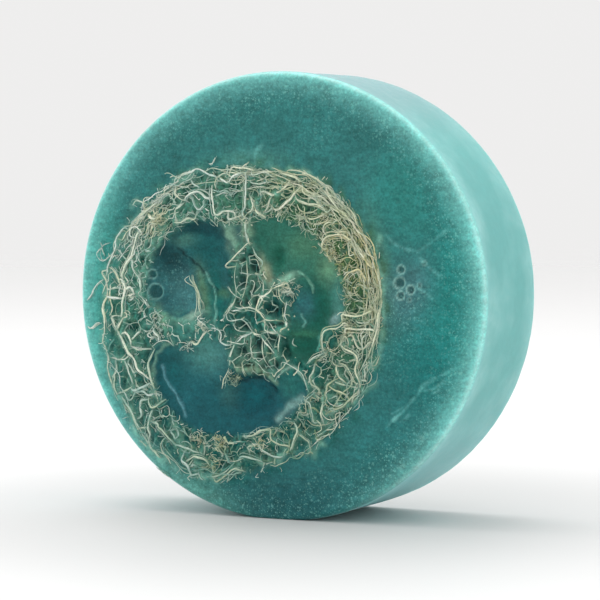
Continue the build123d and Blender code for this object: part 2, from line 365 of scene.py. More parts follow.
    (0.50, 0.15, [(-33.8, 3.6), (-33.1, 2.0), (-33.1, -0.4), (-33.7, -2.4), (-33.4, -5.0), (-33.9, -8.6)]),
    (0.45, 0.25, [(-33.9, -8.6), (-33.0, -10.4), (-33.0, -13.0), (-32.0, -15.6), (-31.2, -17.6)]),
    (0.45, 0.05, [(-31.7, -4.0), (-31.6, -5.0), (-31.2, -6.4)]),
    (0.45, 0.00, [(-30.0, -4.2), (-30.6, -5.6), (-31.2, -6.4)]),
    (0.50, 0.30, [(-26.4, 2.2), (-26.3, 1.4), (-26.6, 0.4)]),
    (0.30, 0.25, [(-26.8, -0.2), (-25.3, -1.5), (-24.8, -2.2)]),
    (0.35, 0.05, [(-29.2, -3.4), (-29.0, -4.0)]),
]

# Strands that stand clear of the hoop, in the soap beside it
LOOSE_WISPS = [
    (0.30, 0.05, [(-32.4, 8.7), (-33.6, 8.3), (-34.9, 7.1), (-34.5, 5.8), (-33.3, 5.7), (-31.1, 7.7)]),
    (0.22, 0.10, [(-34.3, 8.9), (-33.9, 7.7), (-33.4, 6.4)]),
    (0.40, 0.00, [(-37.0, -1.4), (-35.8, 0.0), (-35.0, 1.4), (-33.8, 2.4)]),
    (0.42, 0.00, [(-36.8, -5.9), (-36.2, -6.2), (-35.0, -5.4), (-34.4, -5.1)]),
    (0.30, 0.05, [(-13.0, 22.4), (-12.2, 22.4), (-11.9, 23.5)]),
    (0.30, 0.05, [(-6.7, 21.7), (-6.1, 22.2), (-5.6, 22.6)]),
    (0.40, 0.05, [(8.1, 19.7), (8.7, 20.3)]),
    (0.40, 0.05, [(11.3, 17.6), (11.7, 18.0)]),
    (0.30, 0.45, [(-23.4, -30.0), (-21.4, -31.2), (-20.4, -31.8)]),
]

# Strands of the septa and the core
MIDDLE_STRANDS = [
    # Top septum
    (0.80, 0.20, [(-6.3, 12.8), (-6.1, 11.0), (-5.9, 9.2)]),
    (0.45, 0.00, [(-5.0, 8.9), (-5.6, 8.9), (-7.3, 7.5), (-9.5, 5.5), (-9.6, 5.0)]),
    (0.40, 0.15, [(-5.1, 8.4), (-4.4, 7.4), (-2.9, 6.0)]),
    (0.35, 0.30, [(-8.0, 5.5), (-8.1, 3.0), (-7.9, 0.8), (-8.1, 0.0)]),
    (0.35, 0.15, [(-6.1, 6.0), (-5.8, 4.2), (-5.9, 2.2), (-6.6, 0.2)]),
    (0.25, 0.25, [(-7.6, 5.6), (-7.0, 5.5), (-6.2, 5.9)]),
    (0.25, 0.20, [(-7.4, 4.0), (-5.8, 3.8), (-3.6, 3.5)]),
    (0.30, 0.20, [(-5.8, 6.2), (-4.2, 6.2), (-3.3, 4.6), (-3.5, 3.6)]),
    (0.25, 0.25, [(-5.6, 2.4), (-4.9, 2.7), (-4.4, 2.3), (-4.8, 0.4), (-5.1, -0.2)]),
    (0.30, 0.25, [(-3.9, 3.4), (-3.6, 1.8), (-4.6, 0.6)]),
    (0.35, 0.30, [(-3.2, 3.2), (-2.7, 2.2), (-3.0, 0.4)]),
    (0.30, 0.20, [(-7.4, 0.9), (-6.7, 1.2), (-6.1, 1.4)]),
    (0.40, 0.00, [(-9.7, 1.5), (-8.4, 0.3), (-7.2, -0.5)]),
    (0.40, 0.05, [(-8.2, -0.1), (-8.7, -1.8), (-10.4, -3.5)]),
    (0.30, 0.10, [(-8.7, -1.2), (-9.2, -2.0), (-10.4, -3.2)]),
    (0.55, 0.00, [(-2.2, 0.0), (-3.0, 0.1), (-3.8, -1.4), (-3.9, -2.2), (-3.2, -2.8)]),
    (0.60, 0.00, [(-2.7, -0.5), (-3.1, 0.2), (-2.2, 0.2), (-1.1, 1.4)]),
    (0.45, 0.00, [(-8.4, -1.9), (-6.9, -2.2), (-5.2, -1.9), (-3.9, -2.4)]),
    (0.40, 0.05, [(-8.8, -2.6), (-7.8, -2.5), (-6.9, -2.3)]),
    (0.35, 0.05, [(-5.2, -1.9), (-5.3, -1.1), (-5.1, -0.4)]),
    (0.30, 0.15, [(-7.0, -0.4), (-7.0, -1.2), (-7.4, -1.8)]),
    # Crown, to the right of the top septum's foot
    (0.55, 0.05, [(-1.4, 1.4), (0.2, 1.8), (1.8, 2.4)]),
    (0.40, 0.05, [(0.6, 0.8), (1.4, 1.0), (2.2, 0.9), (2.8, 0.5)]),
    (0.45, 0.05, [(0.2, 1.0), (0.4, -0.3), (0.9, -1.0)]),
    (0.45, 0.00, [(1.3, -0.8), (1.5, -1.8), (1.4, -3.1), (1.6, -4.0)]),
    (1.20, 0.00, [(1.2, -4.2), (1.5, -4.9)]),
    # Core
    (0.45, 0.00, [(-13.2, -5.6), (-11.2, -5.8), (-10.7, -6.6), (-10.8, -7.7), (-9.6, -8.3), (-8.8, -8.2)]),
    (0.35, 0.05, [(-9.8, -8.0), (-9.4, -7.7), (-8.0, -8.1), (-6.4, -8.0)]),
    (0.55, 0.05, [(-8.0, -7.9), (-6.6, -6.9), (-5.0, -6.2)]),
    (0.50, 0.05, [(-9.2, -4.2), (-7.8, -4.1), (-6.2, -4.2), (-5.1, -6.1)]),
    (0.35, 0.15, [(-8.6, -4.6), (-7.4, -5.9), (-5.4, -6.1)]),
    (0.60, 0.05, [(-5.0, -6.1), (-4.2, -6.4), (-3.5, -6.6)]),
    (0.45, 0.00, [(-3.5, -6.7), (-2.0, -7.9), (-0.8, -9.4), (-0.2, -9.9)]),
    (0.35, 0.15, [(-3.3, -7.0), (-2.8, -8.8), (-2.6, -10.4), (-1.2, -12.8)]),
    (0.30, 0.20, [(-5.5, -6.8), (-5.1, -8.8), (-4.9, -10.4)]),
    (0.25, 0.15, [(-6.9, -10.4), (-5.8, -9.8), (-3.6, -9.4), (-2.8, -9.6)]),
    (0.25, 0.15, [(-7.0, -10.6), (-5.8, -10.9), (-5.0, -10.0)]),
    (0.25, 0.15, [(-4.6, -10.2), (-3.6, -11.0), (-2.6, -10.0)]),
    (0.25, 0.15, [(-5.0, -10.9), (-3.8, -11.4), (-2.6, -12.5), (-1.4, -12.9)]),
    (0.30, 0.25, [(-6.9, -11.4), (-6.4, -12.8), (-6.3, -13.4)]),
    (0.70, 0.15, [(-8.3, -8.4), (-8.9, -10.0), (-9.3, -12.0)]),
    (0.45, 0.10, [(-9.8, -12.4), (-10.3, -14.4), (-11.0, -15.9)]),
    (0.45, 0.05, [(-2.6, -3.9), (-1.6, -4.0), (0.6, -4.0)]),
    (0.35, 0.05, [(-2.0, -4.4), (-0.6, -5.6), (-0.2, -6.3)]),
    (0.30, 0.10, [(-2.4, -4.0), (-2.4, -5.6), (-1.0, -6.3), (-0.3, -6.2)]),
    (0.40, 0.05, [(-3.4, -6.2), (-1.6, -6.1), (-0.4, -6.2)]),
    (0.50, 0.00, [(0.2, -6.0), (0.8, -5.4), (1.4, -5.0)]),
    (0.45, 0.05, [(0.1, -6.3), (0.1, -8.0), (0.0, -9.2)]),
    (0.35, 0.20, [(-0.2, -10.0), (-0.9, -10.4), (-1.5, -10.8)]),
    (0.40, 0.00, [(0.9, -12.0), (-0.4, -12.9), (-0.6, -13.5)]),
    (0.50, 0.45, [(2.5, -7.0), (2.6, -7.8), (3.0, -8.4)]),
    (0.35, 0.10, [(0.9, -11.0), (2.6, -11.6), (4.6, -12.8), (5.1, -14.2), (5.4, -15.8)]),
    # Left septum, and the fold of fibre in the upper left chamber
    (0.50, 0.10, [(-17.4, 3.3), (-16.4, 2.3), (-15.0, 0.2), (-15.0, -2.4), (-14.6, -3.1)]),
    (0.30, 0.00, [(-17.8, 2.6), (-17.2, 2.0), (-16.1, 1.1)]),
    (0.40, 0.10, [(-16.8, 3.4), (-15.8, 2.0), (-14.6, -0.2), (-14.3, -2.6)]),
    (0.35, 0.20, [(-17.0, 1.8), (-15.7, 0.2), (-15.5, -2.2), (-15.9, -3.4)]),
    (0.45, 0.25, [(-16.0, 1.6), (-15.1, -0.4), (-14.9, -2.6)]),
    (0.35, 0.05, [(-15.0, -4.0), (-13.8, -5.1), (-13.2, -5.6)]),
    (0.35, 0.15, [(-15.6, -5.0), (-14.2, -5.5), (-13.4, -5.6)]),
    (0.90, 0.00, [(-13.8, -6.2), (-14.4, -7.0), (-15.3, -8.4)]),
    (0.45, 0.35, [(-23.3, -3.0), (-22.0, -4.8), (-21.0, -6.4), (-20.2, -8.9)]),
    (0.55, 0.00, [(-24.2, -5.6), (-23.8, -6.2), (-22.8, -7.4)]),
    (0.40, 0.00, [(-25.0, -7.1), (-24.5, -7.6), (-23.6, -7.3)]),
    (0.35, 0.10, [(-24.6, -9.2), (-22.8, -8.2), (-21.0, -8.0), (-20.4, -8.8)]),
    (0.30, 0.15, [(-24.0, -5.4), (-25.2, -5.2), (-26.0, -5.2)]),
    (0.30, 0.15, [(-24.0, -5.2), (-24.6, -4.6), (-25.2, -4.4)]),
    (0.30, 0.20, [(-24.0, -5.0), (-24.2, -4.2), (-24.6, -3.4)]),
    (0.40, 0.05, [(-16.5, -8.1), (-17.0, -8.4), (-17.6, -8.5)]),
]


LINK_SPACING = 0.6  # how close the places lie on each strand that an end can run on to
LINK_GAP = 0.7  # an end this close to another strand meets it already
LINK_AHEAD = -0.2  # below 0, so that a strand a little behind an end still counts as ahead


def linked(strands, reach):
    """The strands, with each end run on to the nearest strand that lies close ahead of it."""
    spots = []
    for number, (width, soak, places) in enumerate(strands):
        spots += [(number, x, z) for x, z in curve_through(places, LINK_SPACING)]
    spots = np.array(spots)
    joined = []
    for number, (width, soak, places) in enumerate(strands):
        others = spots[spots[:, 0] != number, 1:]
        longer = list(places)
        for end, before in ((longer[0], longer[1]), (longer[-1], longer[-2])):
            step = others - end
            away = np.hypot(step[:, 0], step[:, 1])
            ahead = step @ np.subtract(end, before) > LINK_AHEAD * away
            away = np.where(ahead, away, np.inf)
            nearest = int(np.argmin(away))
            if LINK_GAP < away[nearest] < reach:
                place = 0 if end == longer[0] else len(longer)
                longer.insert(place, tuple(others[nearest]))
        joined.append((width, soak, longer))
    return joined


HOOP_NET = linked(HOOP_STRANDS, reach=2.0)
MIDDLE_NET = linked(MIDDLE_STRANDS, reach=1.6)

# Places where the fibre has yellowed: centre, reach and strength
YELLOWED = [
    ((15.5, 6.0), 11.0, 1.0),
    ((2.0, 18.0), 8.0, 0.5),
    ((-23.0, 12.8), 2.5, 1.0),
    ((9.6, 7.6), 2.6, 1.0),
    ((10.2, 9.8), 1.4, 1.0),
    ((8.2, 13.0), 2.0, 0.9),
    ((12.8, -5.0), 2.0, 0.9),
    ((-15.2, 0.5), 3.0, 0.8),
    ((-12.2, -28.6), 2.0, 0.9),
    ((-15.2, -25.0), 1.8, 1.0),
    ((-11.0, -25.0), 2.4, 1.0),
    ((-3.4, -24.6), 1.8, 0.9),
    ((-8.6, -13.6), 1.8, 0.9),
    ((9.8, -7.8), 2.0, 0.8),
]

# Tangles of short fibre: centre, reach and count
TANGLES = [
    ((-23.0, 12.8), 2.0, 50),
    ((9.8, 8.2), 2.0, 70),
    ((8.2, 13.0), 1.2, 30),
    ((12.6, -5.4), 1.8, 40),
    ((-15.2, -25.0), 1.4, 40),
    ((-11.4, -25.0), 1.8, 60),
    ((-12.2, -28.4), 1.6, 30),
    ((-3.4, -24.6), 1.6, 40),
    ((-9.0, -14.2), 1.3, 50),
    ((1.6, 1.6), 1.6, 60),
    ((-22.8, -6.0), 2.0, 60),
    ((-14.6, -5.0), 1.4, 40),
    ((-17.4, -8.8), 0.8, 20),
    ((-29.4, 0.4), 1.6, 30),
    ((8.6, -9.4), 1.8, 50),
]


# ---------------------------------------------------------------- the soap's poured face

# What the surface reflects lifts each colour by the haze, and the light dims it by the gain
LIGHT_GAIN = 1.28
GLOSS_HAZE = 0.011
DARKEST = 0.003


def seen(red, green, blue):
    """The base colour that looks like this colour of 0 to 255 in the studio's light."""
    linear = []
    for value in (red, green, blue):
        share = value / 255
        linear.append(share / 12.92 if share < 0.04 else ((share + 0.055) / 1.055) ** 2.4)
    return tuple(max(DARKEST, LIGHT_GAIN * (value - GLOSS_HAZE)) for value in linear)


BACK_TEAL = (0.050, 0.240, 0.220)
FACE_COLOUR = seen(54, 111, 109)
# the rim's milky colour, with painted rim light in it
RIM_COLOUR = seen(134, 204, 198)
BED_COLOUR = seen(60, 116, 103)
BED_LOW = seen(24, 88, 84)
BED_PALE = seen(126, 166, 150)
BED_OLIVE = seen(66, 98, 62)
BED_SHADOW = seen(20, 80, 74)
HALO_COLOUR = seen(116, 164, 146)
THATCH_COLOUR = seen(116, 154, 130)
FILM_COLOUR = seen(28, 86, 80)
# painted shade in the holes of the films
HOLE_SHADE = seen(8, 60, 60)
BUBBLE_SHADOW = seen(24, 76, 72)
# a painted highlight on the raised lip round a broken bubble
BUBBLE_LIP_HIGHLIGHT = seen(150, 190, 180)

# Broad clouds in the face outside the loofah: colour, centre, half size, tilt, strength
CLOUDS = [
    (seen(44, 92, 95), (2.0, -36.0), (18.0, 8.5), 8, 1.0),
    (seen(50, 113, 113), (23.0, -20.0), (14.0, 9.0), 40, 0.7),
    (seen(38, 128, 122), (33.0, 0.0), (7.0, 18.0), 0, 0.7),
    (seen(62, 148, 138), (-34.5, -2.0), (4.5, 22.0), 0, 0.8),
    (seen(84, 136, 124), (-17.0, -33.0), (9.0, 3.5), -25, 0.7),
    (seen(84, 120, 100), (18.6, 5.5), (2.2, 10.0), 10, 0.6),
    (seen(92, 146, 136), (-5.5, 23.0), (6.5, 2.0), 0, 0.45),
    (seen(78, 118, 122), (23.6, 1.5), (4.0, 6.0), -25, 0.7),
    (seen(52, 128, 121), (23.0, 17.0), (6.0, 8.0), 0, 0.7),
    (seen(34, 112, 110), (26.0, -10.0), (6.0, 6.0), 0, 0.6),
]

# The colour of the soap that fills each seed chamber
FILL_COLOURS = [seen(46, 93, 95), seen(53, 107, 93), seen(38, 91, 97)]

# Dishes, lobes and films in the chambers: colour, centre, half size, tilt, strength, depth
# The dark colours in the deep dishes are painted shade, over the soap's own tint.
POOLS = [
    # Upper left chamber
    (seen(32, 87, 88), (-14.5, 8.2), (6.6, 3.7), -25, 0.8, 0.6),
    (seen(74, 120, 110), (-19.0, 9.6), (2.6, 1.5), 0, 0.8, 0.0),
    (seen(16, 66, 70), (-15.5, 11.6), (5.6, 1.2), -5, 0.9, 0.3),
    (seen(20, 64, 68), (-21.0, 6.0), (4.6, 2.4), -40, 0.95, 0.5),
    (seen(70, 120, 122), (-18.8, 0.2), (4.4, 3.8), 0, 0.9, 1.2),
    (seen(42, 90, 96), (-22.6, -1.6), (2.0, 2.8), 0, 0.6, 0.0),
    (seen(96, 132, 104), (-14.6, 0.6), (1.3, 4.4), 15, 0.85, -0.3),
    (seen(30, 98, 92), (-12.3, 0.0), (1.9, 5.0), 10, 0.85, 0.3),
    (seen(74, 112, 86), (-10.9, 0.4), (1.5, 0.9), 0, 0.7, 0.0),
    (seen(122, 158, 136), (-9.2, 9.4), (1.3, 4.0), 20, 0.8, -0.4),
    # Films of the top septum
    (seen(150, 160, 134), (-2.6, 4.4), (0.9, 2.8), 25, 0.85, -0.4),
    (seen(124, 150, 128), (-6.2, 11.2), (1.2, 2.4), 0, 0.8, -0.4),
    # Left septum
    (seen(56, 116, 106), (-18.5, -6.0), (5.4, 2.6), 0, 0.9, -0.5),
    (seen(100, 148, 132), (-19.0, -4.4), (4.8, 1.0), -8, 0.8, -0.3),
    (seen(144, 170, 154), (-16.2, -3.4), (1.9, 0.7), 20, 0.8, -0.4),
    (seen(118, 158, 132), (-22.3, -4.4), (1.0, 2.8), 28, 0.7, -0.4),
    # Upper right chamber
    (seen(78, 122, 98), (4.5, 8.7), (3.4, 2.6), 0, 0.7, 0.0),
    (seen(16, 90, 74), (-0.4, 6.9), (1.3, 2.3), 0, 0.85, 0.5),
    (seen(46, 106, 92), (-3.4, 10.0), (1.6, 2.6), 0, 0.6, 0.2),
    (seen(108, 152, 122), (8.8, 4.8), (2.4, 3.2), -30, 0.8, 0.0),
    (seen(78, 132, 124), (10.4, -0.4), (1.7, 3.4), 0, 0.8, 0.2),
    (seen(4, 88, 76), (6.4, -1.6), (3.2, 6.0), 5, 1.0, 1.3),
    (seen(56, 110, 114), (4.0, -1.2), (1.9, 2.8), 0, 0.85, 0.2),
    (seen(14, 84, 72), (4.6, -8.2), (3.3, 2.7), 0, 0.95, 0.9),
    (seen(62, 114, 90), (4.2, -6.2), (2.8, 0.6), 0, 0.6, -0.2),
    (seen(122, 152, 150), (10.2, -3.5), (1.5, 0.9), 40, 0.9, -0.5),
    (seen(140, 176, 156), (1.4, 3.1), (2.0, 0.9), 20, 0.8, -0.8),
    # Lower chamber
    (seen(76, 128, 122), (-14.2, -9.6), (5.6, 3.6), -10, 0.85, -0.2),
    (seen(32, 86, 88), (-20.6, -12.4), (3.0, 4.2), 0, 0.75, 0.3),
    (seen(70, 118, 112), (-9.6, -16.4), (2.0, 2.6), 0, 0.8, -0.2),
    (seen(6, 76, 84), (-5.0, -17.4), (5.6, 4.3), -8, 0.95, 1.8),
    (seen(30, 98, 104), (-5.6, -17.0), (3.0, 2.0), 0, 0.6, 0.0),
    (seen(48, 110, 104), (2.0, -14.8), (3.0, 2.9), 0, 0.85, -0.3),
]

# Folds, creases and films that run along a line: colour, points, half width, strength, depth
# The dark ones are painted shade in the folds; the pale ones are films, some of them also painted gleams.
CREASES = [
    (seen(14, 56, 58), [(-19.9, 8.0), (-18.5, 6.9), (-17.0, 5.8), (-14.7, 4.0)], 0.28, 0.85, 0.2),
    (seen(18, 60, 62), [(-13.2, 1.4), (-12.1, 1.1)], 0.20, 0.8, 0.2),
    (
        seen(24, 72, 76),
        [(-20.5, 9.8), (-18.5, 11.1), (-16.3, 11.3), (-11.8, 10.0), (-9.8, 9.1), (-8.8, 7.3)],
        0.55, 0.6, 0.2,
    ),
    (seen(120, 162, 142), [(-24.5, -14.4), (-24.1, -11.4), (-22.4, -9.0), (-20.4, -8.4)], 0.3, 0.7, -0.2),
    (seen(104, 148, 130), [(-20.8, 12.0), (-16.0, 13.2), (-11.0, 13.2), (-8.2, 12.0)], 0.3, 0.6, -0.2),
    (seen(32, 86, 94), [(-22.2, -2.6), (-20.0, -3.7), (-17.5, -3.2)], 0.30, 0.7, 0.2),
    (seen(112, 162, 150), [(-14.4, 4.0), (-13.2, 2.0), (-12.5, -0.5), (-12.2, -5.0)], 0.17, 0.7, -0.2),
    (seen(130, 156, 132), [(-8.0, -12.5), (-4.6, -12.5), (-2.2, -13.4), (-1.0, -14.6)], 0.5, 0.7, -0.3),
    (seen(18, 66, 72), [(-8.2, -14.6), (-5.5, -13.9), (-2.8, -14.5), (-1.2, -16.2)], 0.35, 0.85, 0.3),
    (seen(120, 170, 150), [(3.2, 4.3), (4.6, 3.6), (5.4, 2.0), (5.6, 0.7)], 0.17, 0.7, -0.2),
    (seen(110, 165, 155), [(3.8, -2.8), (4.2, -4.0), (3.9, -5.0)], 0.20, 0.7, -0.2),
    (seen(90, 150, 136), [(6.8, -8.6), (7.2, -6.6), (8.0, -5.5)], 0.42, 0.7, -0.3),
    (seen(150, 180, 165), [(0.4, -12.8), (2.0, -11.8), (4.0, -12.8), (4.8, -14.5)], 0.26, 0.7, -0.3),
    (seen(122, 156, 150), [(-0.5, -20.8), (1.5, -18.8), (4.0, -17.2)], 0.75, 0.75, -0.3),
    (
        seen(92, 138, 146),
        [(-22.8, -12.5), (-21.8, -15.0), (-20.3, -17.0), (-18.8, -19.0), (-18.3, -21.0)],
        0.26, 0.8, -0.2,
    ),
]

# Holes in the thin films of the septa and the core: centre, half size
HOLES = [
    ((-4.7, 5.2), (1.4, 1.2)),
    ((-6.9, 4.7), (0.7, 0.6)),
    ((-7.0, 2.5), (0.8, 1.4)),
    ((-4.1, 2.4), (0.4, 1.0)),
    ((-5.2, 1.3), (0.8, 1.4)),
    ((-3.0, 3.9), (0.3, 0.4)),
    ((-7.9, -1.0), (0.6, 0.8)),
    ((-6.5, -1.1), (0.5, 0.8)),
    ((-4.5, -0.9), (0.5, 0.9)),
    ((-6.9, 6.2), (0.6, 0.4)),
    ((-5.3, 6.9), (0.5, 0.3)),
    ((-1.2, -2.0), (1.9, 1.6)),
    ((-7.0, -5.0), (1.6, 0.9)),
    ((-6.5, -7.8), (0.4, 0.4)),
    ((-4.3, -8.1), (1.3, 1.6)),
    ((-1.7, -7.4), (1.3, 1.0)),
    ((-7.2, -9.2), (0.9, 0.8)),
    ((-5.9, -10.3), (0.8, 0.6)),
    ((-3.7, -10.2), (0.9, 0.8)),
    ((-6.0, -11.6), (0.9, 0.5)),
    ((-2.7, -11.8), (0.8, 0.7)),
    ((-2.0, -9.4), (0.6, 1.0)),
    ((-0.9, -11.5), (0.7, 0.7)),
    ((-1.5, -4.9), (0.7, 0.5)),
    ((0.0, -4.6), (0.5, 0.4)),
    ((1.3, -8.6), (1.0, 1.6)),
]

# Thin films between the strands of the septa and the core: colour, centre, half size, strength
MEMBRANES = [
    (seen(110, 138, 114), (-4.6, -10.8), (3.9, 2.4), 0.75),
    (seen(100, 130, 110), (-6.8, -7.6), (2.4, 1.5), 0.6),
    (seen(84, 120, 98), (-5.6, 3.0), (2.6, 4.2), 0.6),
    (seen(84, 136, 122), (-0.8, -5.0), (1.8, 1.3), 0.6),
    (seen(40, 104, 96), (-3.8, -3.6), (3.0, 1.8), 0.5),
]

# Wrinkles in the skin of the poured face outside the loofah: points, half width
WRINKLES = [
    ([(19.8, 10.8), (21.8, 9.0), (25.4, 7.9)], 0.20),
    ([(25.4, 7.9), (28.2, 9.8), (31.2, 12.1)], 0.22),
    ([(25.2, 7.4), (26.7, 6.2), (28.2, 4.9), (29.4, 4.1)], 0.18),
    ([(25.4, 2.2), (27.0, 1.1), (28.2, 0.3)], 0.18),
    ([(21.3, -20.1), (23.6, -17.7), (25.4, -15.6), (26.8, -13.8), (29.5, -12.4), (32.0, -11.1)], 0.24),
    ([(20.9, -18.9), (22.7, -17.9)], 0.18),
    ([(22.4, -20.3), (24.0, -18.9)], 0.18),
    ([(20.2, -21.0), (21.6, -19.4)], 0.18),
    ([(26.8, -14.9), (28.6, -14.4), (30.2, -13.2)], 0.2),
    ([(27.9, -15.4), (29.6, -14.6)], 0.18),
    ([(-4.4, 22.6), (-4.0, 24.4), (-3.0, 25.6)], 0.3),
]

# Air bubbles that broke the poured face: centre and radius
BUBBLES = [
    ((22.5, 5.0), 0.68),
    ((22.2, 2.8), 0.98),
    ((24.2, 1.7), 0.74),
    ((22.4, 0.7), 0.70),
    ((24.0, 0.0), 0.35),
    ((25.8, 2.4), 0.38),
    ((26.7, 6.1), 0.38),
    ((-24.6, 3.4), 0.80),
    ((-24.1, 0.4), 1.35),
    ((26.4, 24.9), 0.35),
    ((35.5, 8.0), 0.40),
    ((36.0, 6.6), 0.35),
    ((35.6, 4.4), 0.25),
    ((26.2, -22.8), 0.35),
    ((22.8, -27.6), 0.40),
]


# The relief of the face, and how its regions run into each other
WOBBLE = 0.14  # how far the edges of holes, dishes and creases stray
BED_DEPTH = 0.50  # of the soap between the hoop's strands
BED_SHADOW_DEPTH = 0.45  # deeper than this, the bed gets painted shade
OLIVE_HEADING = 0.6  # the way, in radians, to the side of the hoop whose bed looks olive
SEEP_REACH = 1.5  # how far the bed's colour has seeped out of the hoop
HOLE_DEPTH = 0.9
FILL_DEPTH = 0.9  # of the soap in the seed chambers
WRINKLE_HEIGHT = 0.06
WRINKLE_MILK = 0.32
LIP_WIDTH = 0.16  # of the raised lip round a broken bubble
LIP_HEIGHT = 0.08
MILK_AND_LIGHT_REACH = 7.0  # how far the milky rim and its painted rim light reach in
FOOT_HEADING = -80  # the way, in degrees, to the rim's foot, which is in shade and gets no milkiness and no painted rim light
DULL_HEADING = 150  # the way to the part of the rim that gets a little less milkiness and painted rim light


def pool_share(x, z, centre, size, tilt=0):
    """1 in the middle of an ellipse and fading out at its edge, for a tilt in degrees."""
    turn = math.radians(tilt)
    across = x - centre[0]
    up = z - centre[1]
    along = (across * math.cos(turn) + up * math.sin(turn)) / size[0]
    aside = (up * math.cos(turn) - across * math.sin(turn)) / size[1]
    return np.exp(-((along**2 + aside**2) ** 1.25))


def toward(colours, colour, share):
    """Colours mixed towards another by a share at each place."""
    share = np.asarray(share)[..., None]
    return colours * (1 - share) + np.asarray(colour) * share


def strand_glow(x, z, strands, force):
    """How much each place is lightened by the strands that lie near it in the soap."""
    margin = 2.0
    glow = np.zeros(np.shape(x))
    for width, soak, places in strands:
        low = np.min(places, axis=0) - margin
        high = np.max(places, axis=0) + margin
        near = (x > low[0]) & (x < high[0]) & (z > low[1]) & (z < high[1])
        away = line_distance(x[near], z[near], places)
        glow[near] += force * fading(away, 0.32 + 0.5 * width)
    return np.clip(glow, 0, 0.85)


class PouredFace:
    """The soap's surface at places on the poured face, built up layer by layer: its depth behind
    the face, its stain, how milky and how lit by painted rim light, how frothy and how full of fine fibre
    it is."""

    def __init__(self, from_axis, z):
        x = from_axis - SLICE_SHIFT
        self.x, self.z = x, z
        self.radius = np.hypot(from_axis, z)
        self.angle = np.arctan2(z, from_axis)
        self.wobbled = (
            x + WOBBLE * waves(x, z, 2.4, 31),
            z + WOBBLE * waves(x, z, 2.4, 32),
        )
        self.hoop = in_hoop(x, z)
        self.web = smooth(self.hoop, -0.3, 1.8)
        self.outside = 1 - smooth(self.hoop, -1.0, 0.5)
        self.film = smooth(in_middle(x, z), -0.5, 1.0)
        self.in_fill = smooth(in_chamber(x, z), -0.5, 0.9)
        self.depth = np.zeros_like(x)
        self.stain = np.broadcast_to(FACE_COLOUR, (len(x), 3))
        self.milk = np.zeros_like(x)
        self.froth = np.zeros_like(x)

    def paint(self, colour, share):
        """Stains the soap towards a colour by a share at each place."""
        self.stain = toward(self.stain, colour, share)

    def press(self, share, deeper, colour, force):
        """Presses the surface in and stains it, each by a share at each place."""
        self.depth = self.depth + deeper * share
        self.paint(colour, force * share)

    def cloud_outside(self):
        """Clouds the soap outside the loofah."""
        for colour, centre, size, tilt, force in CLOUDS:
            self.paint(colour, force * pool_share(self.x, self.z, centre, size, tilt))

    def lay_bed(self):
        """Lays the soap between the hoop's strands, whose colour has seeped out in places, with painted
        shade where it lies deep.
        """
        x, z = self.x, self.z
        bed = BED_DEPTH + 0.26 * waves(x, z, 3.2, 3) + 0.16 * waves(x, z, 1.5, 4)
        self.depth = self.web * bed
        heading = np.arctan2(z - SLICE_MIDDLE[1], x - SLICE_MIDDLE[0])
        olive = np.clip(0.5 + 0.5 * np.cos(heading - OLIVE_HEADING), 0, 1) ** 4
        stain = toward(np.array(BED_COLOUR), BED_LOW, smooth(z, -3.0, -17.0))
        stain = toward(stain, BED_OLIVE, olive)
        stain = toward(stain, BED_PALE, 0.5 * pool_share(x, z, (-26.0, 11.0), (5.5, 7.0)))
        # Painted shade where the bed lies deep between the strands
        stain = toward(stain, BED_SHADOW, np.clip(2.0 * (bed - BED_SHADOW_DEPTH), 0, 0.9))
        seep = fading(np.minimum(self.hoop, 0), SEEP_REACH)
        seep *= np.clip(0.35 + 0.4 * waves(x, z, 3.5, 12), 0, 0.8)
        self.paint(stain, np.maximum(self.web, seep))

    def stretch_films(self):
        """Stretches the films of the septa and the core, and opens the holes in them, painted dark as
        shade.
        """
        self.paint(FILM_COLOUR, self.film)
        for colour, centre, size, force in MEMBRANES:
            self.paint(colour, force * self.film * pool_share(self.x, self.z, centre, size))
        for centre, size in HOLES:
            # Painted shade in the holes
            self.press(pool_share(*self.wobbled, centre, size), HOLE_DEPTH, HOLE_SHADE, 0.9)

    def lighten_by_strands(self):
        """Lightens the soap round the strands that lie in it."""
        glow = strand_glow(*self.wobbled, HOOP_NET, 0.5)
        glow += strand_glow(*self.wobbled, MIDDLE_NET, 0.25)
        self.paint(HALO_COLOUR, glow)

    def fill_chambers(self):
        """Fills the seed chambers, with the dishes, lobes, folds and creases of their soap, and painted
        shade in the deep dishes and dark creases.
        """
        x, z = self.x, self.z
        floor = FILL_DEPTH + 0.12 * waves(x, z, 6.0, 6)
        self.depth = self.depth * (1 - self.in_fill) + floor * self.in_fill
        for field, colour in zip(in_chambers, FILL_COLOURS):
            self.paint(colour, smooth(field(x, z), -0.5, 0.9))
        within = smooth(in_middle(x, z), -1.2, 0.6)
        # Painted shade in the deep dishes, with the soap's own tint elsewhere
        for colour, centre, size, tilt, force, deeper in POOLS:
            share = pool_share(*self.wobbled, centre, size, tilt)
            self.press(share * within, deeper, colour, force)
        # Painted shade in the dark creases, and painted gleams on some pale films
        for colour, points, width, force, deeper in CREASES:
            away = line_distance(*self.wobbled, curve_through(points))
            self.press(fading(away, width) * within, deeper, colour, force)

    def wrinkle_skin(self):
        """Gives the skin outside the loofah its faint waves and its broken, milky wrinkles."""
        x, z = self.x, self.z
        self.depth += self.outside * (0.05 * waves(x, z, 14.0, 7) + 0.015 * waves(x, z, 2.5, 8))
        stray = 0.1 * waves(x, z, 3.0, 9)
        broken = np.clip(0.75 + 0.35 * waves(x, z, 1.8, 10), 0.3, 1)
        for points, width in WRINKLES:
            away = line_distance(x, z, curve_through(points)) + stray
            share = fading(away, width) * self.outside * broken
            self.depth -= WRINKLE_HEIGHT * share
            self.milk += WRINKLE_MILK * share

